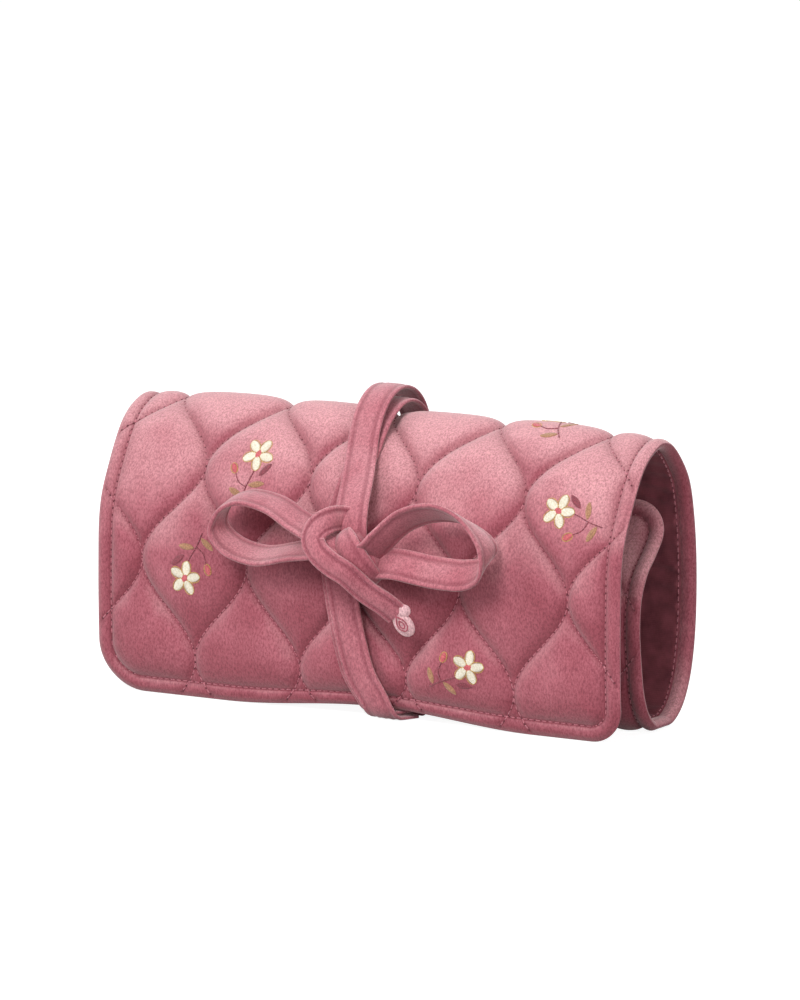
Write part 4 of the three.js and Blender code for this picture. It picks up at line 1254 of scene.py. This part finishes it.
strap_marks = [knot_v - strap_tuck, splits[1], splits[2], splits[3] - 8]
strap_covers = [("front_upper", "top"), ("top", "back"), ("back", "under")]
for strand, base in (("outer", strap_outer_level), ("inner", strap_inner_level)):
    hem_stop = rim_reach - hem_radius * math.pi / 2 - hem_return
    stops = stops_to(knot_v + 2, hem_stop, ribbon_step)
    us, along = strap_path(stops, f"lower_{strand}")
    lower = laid(us, stops, along, lambda v: base)
    piece = ribbon(f"strap_front_lower_{strand}", lower)
    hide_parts(f"tie_front_lower_{strand}")
    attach(piece, "flap")
    hem_end = lower(np.zeros(1), np.zeros(1))[-1, 0]
    # From the knot over the top and down the back, and then underneath to the turn round the hem
    runs = [stops_to(a, b, ribbon_step) for a, b in zip(strap_marks, strap_marks[1:])]
    runs.append(stops_to(strap_marks[-1], strap_end_v, ribbon_step))
    stops = np.concatenate([runs[0], *(run[1:] for run in runs[1:])])
    first = np.cumsum([0] + [len(run) - 1 for run in runs])
    us, along = strap_path(stops, f"upper_{strand}")
    for i in range(3):
        held = slice(first[i], first[i + 1] + 1)
        upper = laid(us[held], stops[held], along[held], lambda v: strap_level(v, strand, base))
        piece = ribbon(f"strap_{'_'.join(fold_pairs[i])}_{strand}", upper)
        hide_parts(*(f"tie_{cover}_{strand}" for cover in strap_covers[i]))
        bend(piece, i)
    upper = laid(us[first[3] :], stops[first[3] :], along[first[3] :], lambda v: base)
    centres = upper(np.zeros(1), np.zeros(1))[:, 0]
    centres = np.vstack([centres, centres[-1] + (hem_end - centres[-1]) * np.linspace(0, 1, 16)[1:, None]])
    piece = ribbon(f"strap_under_{strand}", framed(centres, *wide_frames(centres, np.array([[1.0, 0, 0]]))))
    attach(piece, "bottom")


def from_shares(shares):
    """Places spaced evenly along a curve of shares, with any further values of its points."""
    scale = (roll_length, roll_depth, roll_height)
    points = np.array([[s * size for s, size in zip(place, scale)] for place in shares])
    points[:, 1] -= frame_shift
    dense = catmull_rom(points)
    way = lengths_along(dense)
    even = np.linspace(0, way[-1], int(way[-1] / ribbon_step) + 1)
    stop = np.interp(even, way, np.linspace(0, len(points) - 1, len(dense)))
    more = np.array([place[3:] for place in shares])
    values = [np.interp(stop, range(len(points)), column) for column in more.T]
    return resampled(dense, way, even), values


for side, shares in (("left", left_loop_shares), ("right", right_loop_shares)):
    centres, (lean,) = from_shares(shares)
    wide, thick = wide_frames(centres, np.stack([np.zeros_like(lean), np.ones_like(lean), lean], axis=-1))
    piece = ribbon(f"bow_{side}", framed(centres, wide, thick), thickness=loop_thickness)
    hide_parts(f"bow_loop_{side}")
    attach(piece, "flap")

tail_centres, (turn,) = from_shares(tail_shares)
turn = np.radians(turn)
wide, thick = wide_frames(tail_centres, np.stack([np.cos(turn), np.zeros_like(turn), np.sin(turn)], axis=-1))
piece = ribbon("bow_tail", framed(tail_centres, wide, thick), width=tail_width, thickness=tail_thickness)
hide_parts("tie_tail")
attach(piece, "flap")
tail_side = wide[-1]

# The wrap: a ring of strap, full in front and gathered where it goes behind
wrap_along = unit(np.array([0.62, 0, -0.78]))
wrap_side = unit(np.array([0.78, 0, 0.62]))
toward = np.array([0, -1.0, 0])
knot_low, knot_high = (np.array(c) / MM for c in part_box("tie_knot"))
knot_centre = (knot_low + knot_high) / 2 + wrap_along * wrap_shift
around = np.linspace(0, 2 * math.pi, 60, endpoint=False)
ring_along, ring_toward = np.cos(around)[:, None] * wrap_along, np.sin(around)[:, None] * toward
wrap_centres = knot_centre + wrap_length * ring_along + wrap_depth * ring_toward
wrap_outward = unit(wrap_depth * ring_along + wrap_length * ring_toward)
in_front = np.clip(np.sin(around), 0, 1)[:, None]


def wrap_place(across, height):
    full = across * (wrap_gather + (1 - wrap_gather) * in_front**0.45)
    lift = height + wrap_crown * in_front * (0.5 - (2 * across / strap_width) ** 2)
    return wrap_centres[:, None] + full[..., None] * wrap_side + lift[..., None] * wrap_outward[:, None]


piece = ribbon("bow_wrap", wrap_place, thickness=loop_thickness, closed=True)
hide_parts("tie_knot_wrap")
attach(piece, "flap")

# The bundle inside the wrap, gathered in pleats
core_rings = []
for way in np.linspace(-0.96, 0.96, 17):
    size = (1 - way**2) ** 0.25 * (1 + pleat_depth * np.cos(core_pleats * around + 2 * way))
    ring = knot_centre + wrap_side * way * core_half_width
    ring = ring + wrap_along * (core_half_length * size * np.cos(around))[:, None]
    core_rings.append(ring + toward * (core_half_depth * size * np.sin(around))[:, None])
piece = lofted("bow_core", core_rings, strap_velvet)
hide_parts("tie_knot")
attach(piece, "flap")


def lobe(centre, along, side, face, half_length, half_width, half_height):
    """A flat rounded body, fuller towards its far end."""
    rings = []
    for way in np.linspace(-0.97, 0.97, 19):
        full = (1 - way**2) ** 0.5 * (1 + 0.12 * way)
        ring = centre + along * way * half_length + side * (half_width * full * np.cos(around))[:, None]
        rings.append(ring + face * (half_height * full**1.3 * np.sin(around))[:, None])
    points, faces = loft(rings)
    return points, outward_faces(points, faces)


# The tip of the tail: a satin lobe with a stitched loop on its face and a smaller lobe beside it
tip_along = unit(tail_centres[-1] - tail_centres[-4] + [0, 0, -tip_drop])
tip_side = unit(tip_along * (tail_side @ tip_along) - tail_side)
tip_face = unit(np.cross(tip_along, tip_side))
tip_face = tip_face if tip_face[1] < 0 else -tip_face
tip_centre = tail_centres[-1] + tip_along * (tip_length / 2 - strap_thickness)
tip_half = (tip_length / 2, tip_width / 2, tip_half_height)
tip_parts = [(*lobe(tip_centre, tip_along, tip_side, tip_face, *tip_half), 0)]
ear_centre = tail_centres[-1] + tip_side * ear_offset + tip_face * 0.3
ear_half = (ear_length / 2, ear_width / 2, tip_half_height * 0.7)
tip_parts.append((*lobe(ear_centre, tip_side, tip_along, tip_face, *ear_half), 0))
for size, lift in tip_loops:
    corners = [np.array([a * tip_length, b * tip_width]) * size for a, b in tip_loop_shares]
    outline = catmull_rom([*corners, corners[0]], 6)
    track = [tip_centre + tip_along * a + tip_side * b + tip_face * lift for a, b in outline]
    for start, end in zip(track, track[1:]):
        tip_parts.append((*capsule(start, end, tip_thread_radius), 1))
piece = merged("bow_tip", tip_parts, [tip_cloth, tip_thread])
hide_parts("tie_tail_tip")
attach(piece, "flap")


# Pockets, zips and ring bar inside the roll

def pad_grid(u_from, u_to, v_from, v_to, low, high):
    """Outer and inner grids of a thin pad on the lining, between two depths, with a rounded rim."""
    rim = rim_stops(pad_rim, 4)
    axes = [
        np.concatenate([a + rim, stops_to(a + pad_rim, b - pad_rim, pad_step)[1:-1], b - rim[::-1]])
        for a, b in ((u_from, u_to), (v_from, v_to))
    ]
    us, vs = np.meshgrid(*axes)
    edge = np.minimum(np.minimum(us - u_from, u_to - us), np.minimum(vs - v_from, v_to - vs))
    full = np.sqrt(np.clip(1 - (1 - np.clip(edge / pad_rim, 0, 1)) ** 2, 0, 1))
    middle = (low + high) / 2
    ripple = pad_ripple * np.sin(us * 0.31 + 1) * np.sin(vs * 0.27) * np.clip(edge / 3, 0, 1)
    hem = -pad_hem_groove * np.exp(-(((edge - pad_stitch_inset) / 0.5) ** 2))
    return (
        on_sheet(us, vs, middle + (low - middle) * full),
        on_sheet(us, vs, middle + (high + ripple + hem - middle) * full),
    )


def sewn_pad(name, node, body, material, place, height):
    """A pad of a height on the lining, in place of a node; gives the stitches inside its edge."""
    low, high = pocket_depth, pocket_depth + height
    u_from, u_to, v_from, v_to = place
    outer, inner = pad_grid(*place, low, high)
    piece = Shell(outer, inner, {}).piece(name, 0, len(outer) - 1, [material])
    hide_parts(node)
    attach(piece, body)
    a, b = u_from + pad_stitch_inset, u_to - pad_stitch_inset
    c, d = v_from + pad_stitch_inset, v_to - pad_stitch_inset
    around_pad = np.array([(a, c), (b, c), (b, d), (a, d), (a, c)])
    way = lengths_along(around_pad)
    path = resampled(around_pad, way, np.arange(0, way[-1], path_step))
    places = stitch_places(path, lambda us, vs: np.full_like(us, high - pad_hem_groove + 0.1))
    return [(*capsule(start, end, strap_thread_radius), 0) for start, end, _ in places]


def eased(node, body):
    """A metal piece of the frame with its edges rounded."""
    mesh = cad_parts[node].data.copy()
    solid = bmesh.new()
    solid.from_mesh(mesh)
    bmesh.ops.remove_doubles(solid, verts=solid.verts, dist=1e-6)
    bmesh.ops.dissolve_limit(solid, angle_limit=math.radians(2), verts=solid.verts, edges=solid.edges)
    sharp = [e for e in solid.edges if len(e.link_faces) == 2 and e.calc_face_angle() > math.radians(30)]
    bmesh.ops.bevel(solid, geom=sharp, offset=metal_edge * MM, segments=2, affect="EDGES", clamp_overlap=True)
    solid.to_mesh(mesh)
    solid.free()
    mesh.materials.clear()
    mesh.materials.append(gilt)
    piece = linked(f"{node}_eased", mesh)
    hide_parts(node)
    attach(piece, body)


def zip_coil(name, node, body, middle_v):
    """Two rows of coil teeth that meet in the middle of the zip."""
    teeth = []
    for side in (-1, 1):
        for u_at in np.arange(-zip_length / 2 + zip_pitch, zip_length / 2 - zip_pitch, zip_pitch):
            us = np.full(2, u_at + side * zip_pitch / 4)
            vs = middle_v + side * np.array([-0.35, coil_width / 2 - tooth_radius])
            start, end = on_sheet(us, vs, np.full(2, coil_depth))
            teeth.append((*capsule(start, end, tooth_radius), 0))
    piece = merged(name, teeth, [coil_plastic])
    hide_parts(node)
    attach(piece, body)


pocket_side = roll_length / 2 - pocket_margin
for prefix, middle_share, depth_of_pocket in (
    ("flap", flap_zip_share, flap_pocket_depth), ("inner_flap", inner_zip_share, inner_pocket_depth)
):
    middle_v = middle_share * sheet_length
    half_tape = zip_length / 2 + tape_end
    threads = []
    for name, low in (("lower", -tape_gap - tape_width), ("upper", tape_gap)):
        place = (-half_tape, half_tape, middle_v + low, middle_v + low + tape_width)
        node = f"{prefix}_zip_tape_{name}"
        threads += sewn_pad(f"{node}_woven", node, prefix, tape_cloth, place, tape_height)
    near = middle_v - 2 * tape_gap - tape_width
    place = (-pocket_side, pocket_side, near - depth_of_pocket, near)
    node = f"{prefix}_pocket_panel"
    threads += sewn_pad(f"{node}_cloth", node, prefix, lining, place, panel_height)
    if prefix == "flap":
        hem_v = hem_share * sheet_length
        place = (patch_x - patch_width / 2, patch_x + patch_width / 2, hem_v, hem_v + patch_length)
        threads += sewn_pad("strap_patch", "tie_anchor_patch", "flap", lining, place, panel_height)
    piece = merged(f"{prefix}_pocket_stitches", threads, [seam_thread])
    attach(piece, prefix)
    zip_coil(f"{prefix}_zip_teeth", f"{prefix}_zip_coil", prefix, middle_v)
    for part in ("start_stop", "end_stop"):
        eased(f"{prefix}_zip_{part}", prefix)
    for part in ("slider", "pull"):
        eased(f"{prefix}_zip_{part}", f"{prefix}_zip_{part}")

bar_v = bar_share * sheet_length
place = (anchor_from, anchor_from + anchor_length, bar_v - anchor_width / 2, bar_v + anchor_width / 2)
threads = sewn_pad("bar_anchor_pad", "ring_bar_anchor", "back", strap_velvet, place, anchor_height)
piece = merged("bar_anchor_stitches", threads, [strap_thread])
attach(piece, "back")
eased("ring_bar_stud_post", "back")

# The ring bar: a padded velvet roll with a seam along it and gathers at both ends
bar_low, bar_high = (np.array(c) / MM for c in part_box("ring_bar"))
bar_centre = (bar_low + bar_high) / 2
bar_radius = (bar_high[2] - bar_low[2]) / 2 - bar_inset
bar_rings = []
for x in stops_to(bar_low[0], bar_high[0], 0.9):
    from_end = min(x - bar_low[0], bar_high[0] - x)
    swell = 0.5 + 0.5 * math.sqrt(1 - (1 - min(from_end / bar_end_reach, 1)) ** 2)
    pleats = pleat_depth * math.exp(-from_end / 5) * np.cos(bar_pleats * around)
    ripple = 0.012 * np.sin(0.45 * x + 2 * np.cos(around)) + 0.01 * np.sin(0.17 * x + 3 * around)
    seam = -0.06 * np.exp(-(((np.mod(around + 1.2, 2 * math.pi) - math.pi) / 0.09) ** 2))
    radius = bar_radius * swell * (1 + pleats + ripple + seam - 0.02)
    round_bar = (radius * np.cos(around), radius * np.sin(around))
    bar_rings.append(np.stack([np.full_like(around, x), *(round_bar + bar_centre[1:, None])], axis=-1))
piece = lofted("ring_bar_padded", bar_rings, strap_velvet)
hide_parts("ring_bar")
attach(piece, "ring_bar")

# Its tab, with a round end, and the cap of the press stud
_, _, bar_along, bar_outward = sheet_frame(np.array(0.0), np.array(bar_v), np.array(pocket_depth))
tab_low, tab_high = (np.array(c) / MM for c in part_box("ring_bar_tab"))
tab_centre = (tab_low + tab_high) / 2
profile = strap_profile(tab_width, tab_thickness)
tab_rings = []
tab_round = tab_high[0] - tab_width / 2
tab_end = tab_high[0] - tab_width / 2 * (1 - np.sin(np.linspace(0, 1.5, 9)))
for x in np.concatenate([np.arange(tab_low[0], tab_round, 0.8), tab_end]):
    past = max(x - tab_round, 0) / (tab_width / 2)
    narrow = math.sqrt(max(1 - past**2, 0.01))
    ring = profile[:, :1] * narrow * bar_along + profile[:, 1:] * bar_outward
    tab_rings.append(ring + [x, tab_centre[1], tab_centre[2]])
piece = lofted("ring_bar_tab_velvet", tab_rings, strap_velvet)
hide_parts("ring_bar_tab")
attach(piece, "ring_bar")

cap_low, cap_high = (np.array(c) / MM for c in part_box("ring_bar_stud_cap"))
cap_centre = (cap_low + cap_high) / 2
cap_circle = np.cos(around)[:, None] * np.array([1.0, 0, 0]) + np.sin(around)[:, None] * bar_along
cap_rings = [
    cap_centre - bar_outward * (height - 0.5) * stud_cap_height + stud_cap_radius * size * cap_circle
    for height, size in stud_cap_shares
]
piece = lofted("ring_bar_stud_dome", cap_rings, gilt)
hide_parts("ring_bar_stud_cap")
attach(piece, "ring_bar")


# Camera, light and floor

camera_azimuth = 31.0
camera_elevation = 9.5
camera_distance = 3.2
pixels_per_mm = 2.89
picture_height = 1000
sensor_width = 36.0
look_at = Vector((1.96, 8.9, 72.1)) * MM

azimuth, elevation = math.radians(camera_azimuth), math.radians(camera_elevation)
level = math.cos(elevation)
back_off = Vector((math.sin(azimuth) * level, -math.cos(azimuth) * level, math.sin(elevation)))
camera_data = bpy.data.cameras.new("camera")
camera = linked("camera", camera_data)
camera.location = look_at + back_off * camera_distance
camera.rotation_mode = "QUATERNION"
camera.rotation_quaternion = (-back_off).to_track_quat("-Z", "Y")
camera_data.sensor_width = sensor_width
camera_data.lens = pixels_per_mm * camera_distance / MM * sensor_width / picture_height
camera_data.clip_end = 50
bpy.context.scene.camera = camera


def area_light(name, place, target, size, power):
    data = bpy.data.lights.new(name, "AREA")
    data.shape = "DISK"
    data.size = size
    data.energy = power
    light = linked(name, data)
    light.location = place
    light.rotation_mode = "QUATERNION"
    light.rotation_quaternion = (Vector(target) - Vector(place)).to_track_quat("-Z", "Y")


world_light = 0.2
# The floor: greys under light and as the camera sees it, its glow, and its size and drop in millimetres
floor_grey = 0.5
seen_grey = 0.4
floor_glow = 0.93
floor_half = 5000.0
floor_drop = 0.05
area_light("key", (0.05, -0.85, 0.76), (0, 0, 0.06), 0.5, 7.6)
area_light("top", (0.05, 0.4, 1.05), (0, 0, 0.08), 0.6, 5)
area_light("fill", (1.5, -1.1, 0.6), (0, 0, 0.06), 1.0, 11)
area_light("left", (-1.2, -1.0, 0.5), (0, 0, 0.06), 0.9, 9)

world = bpy.data.worlds.new("studio")
bpy.context.scene.world = world
world.use_nodes = True
world_nodes, world_links = world.node_tree.nodes, world.node_tree.links
background = next(n for n in world_nodes if n.type == "BACKGROUND")
background.inputs["Color"].default_value = (1, 1, 1, 1)


def seen_directly(nodes, links):
    """1 for rays from the camera, also by way of metal or glass, and 0 for light on the object."""
    path = nodes.new("ShaderNodeLightPath")
    total = path.outputs["Is Camera Ray"]
    for name in ("Is Glossy Ray", "Is Transmission Ray"):
        total = math_node(nodes, links, "MAXIMUM", total, path.outputs[name])
    return total


strength = world_nodes.new("ShaderNodeMapRange")
seen = seen_directly(world_nodes, world_links)
feed_all(world_links, strength, {"Value": seen, "To Min": world_light, "To Max": 1.0})
world_links.new(strength.outputs["Result"], background.inputs["Strength"])

floor_material, nodes, links, shader = new_material("pale_floor")
nodes.remove(shader)
output = next(n for n in nodes if n.type == "OUTPUT_MATERIAL")
diffuse = nodes.new("ShaderNodeBsdfDiffuse")
diffuse.inputs["Color"].default_value = (*[floor_grey] * 3, 1)
soft = nodes.new("ShaderNodeBsdfDiffuse")
soft.inputs["Color"].default_value = (*[seen_grey] * 3, 1)
glow = nodes.new("ShaderNodeEmission")
glow.inputs["Strength"].default_value = floor_glow
seen = nodes.new("ShaderNodeAddShader")
links.new(soft.outputs[0], seen.inputs[0])
links.new(glow.outputs[0], seen.inputs[1])
mix = nodes.new("ShaderNodeMixShader")
links.new(seen_directly(nodes, links), mix.inputs[0])
links.new(diffuse.outputs[0], mix.inputs[1])
links.new(seen.outputs[0], mix.inputs[2])
links.new(mix.outputs[0], output.inputs["Surface"])
floor_points = np.array([(-1, -1, 0), (1, -1, 0), (1, 1, 0), (-1, 1, 0)], float) * floor_half
floor_points[:, 2] = -floor_drop
floor = make_mesh("floor", floor_points, [np.array([[0, 1, 2, 3]])], [floor_material])

bpy.context.scene.view_settings.view_transform = "Standard"
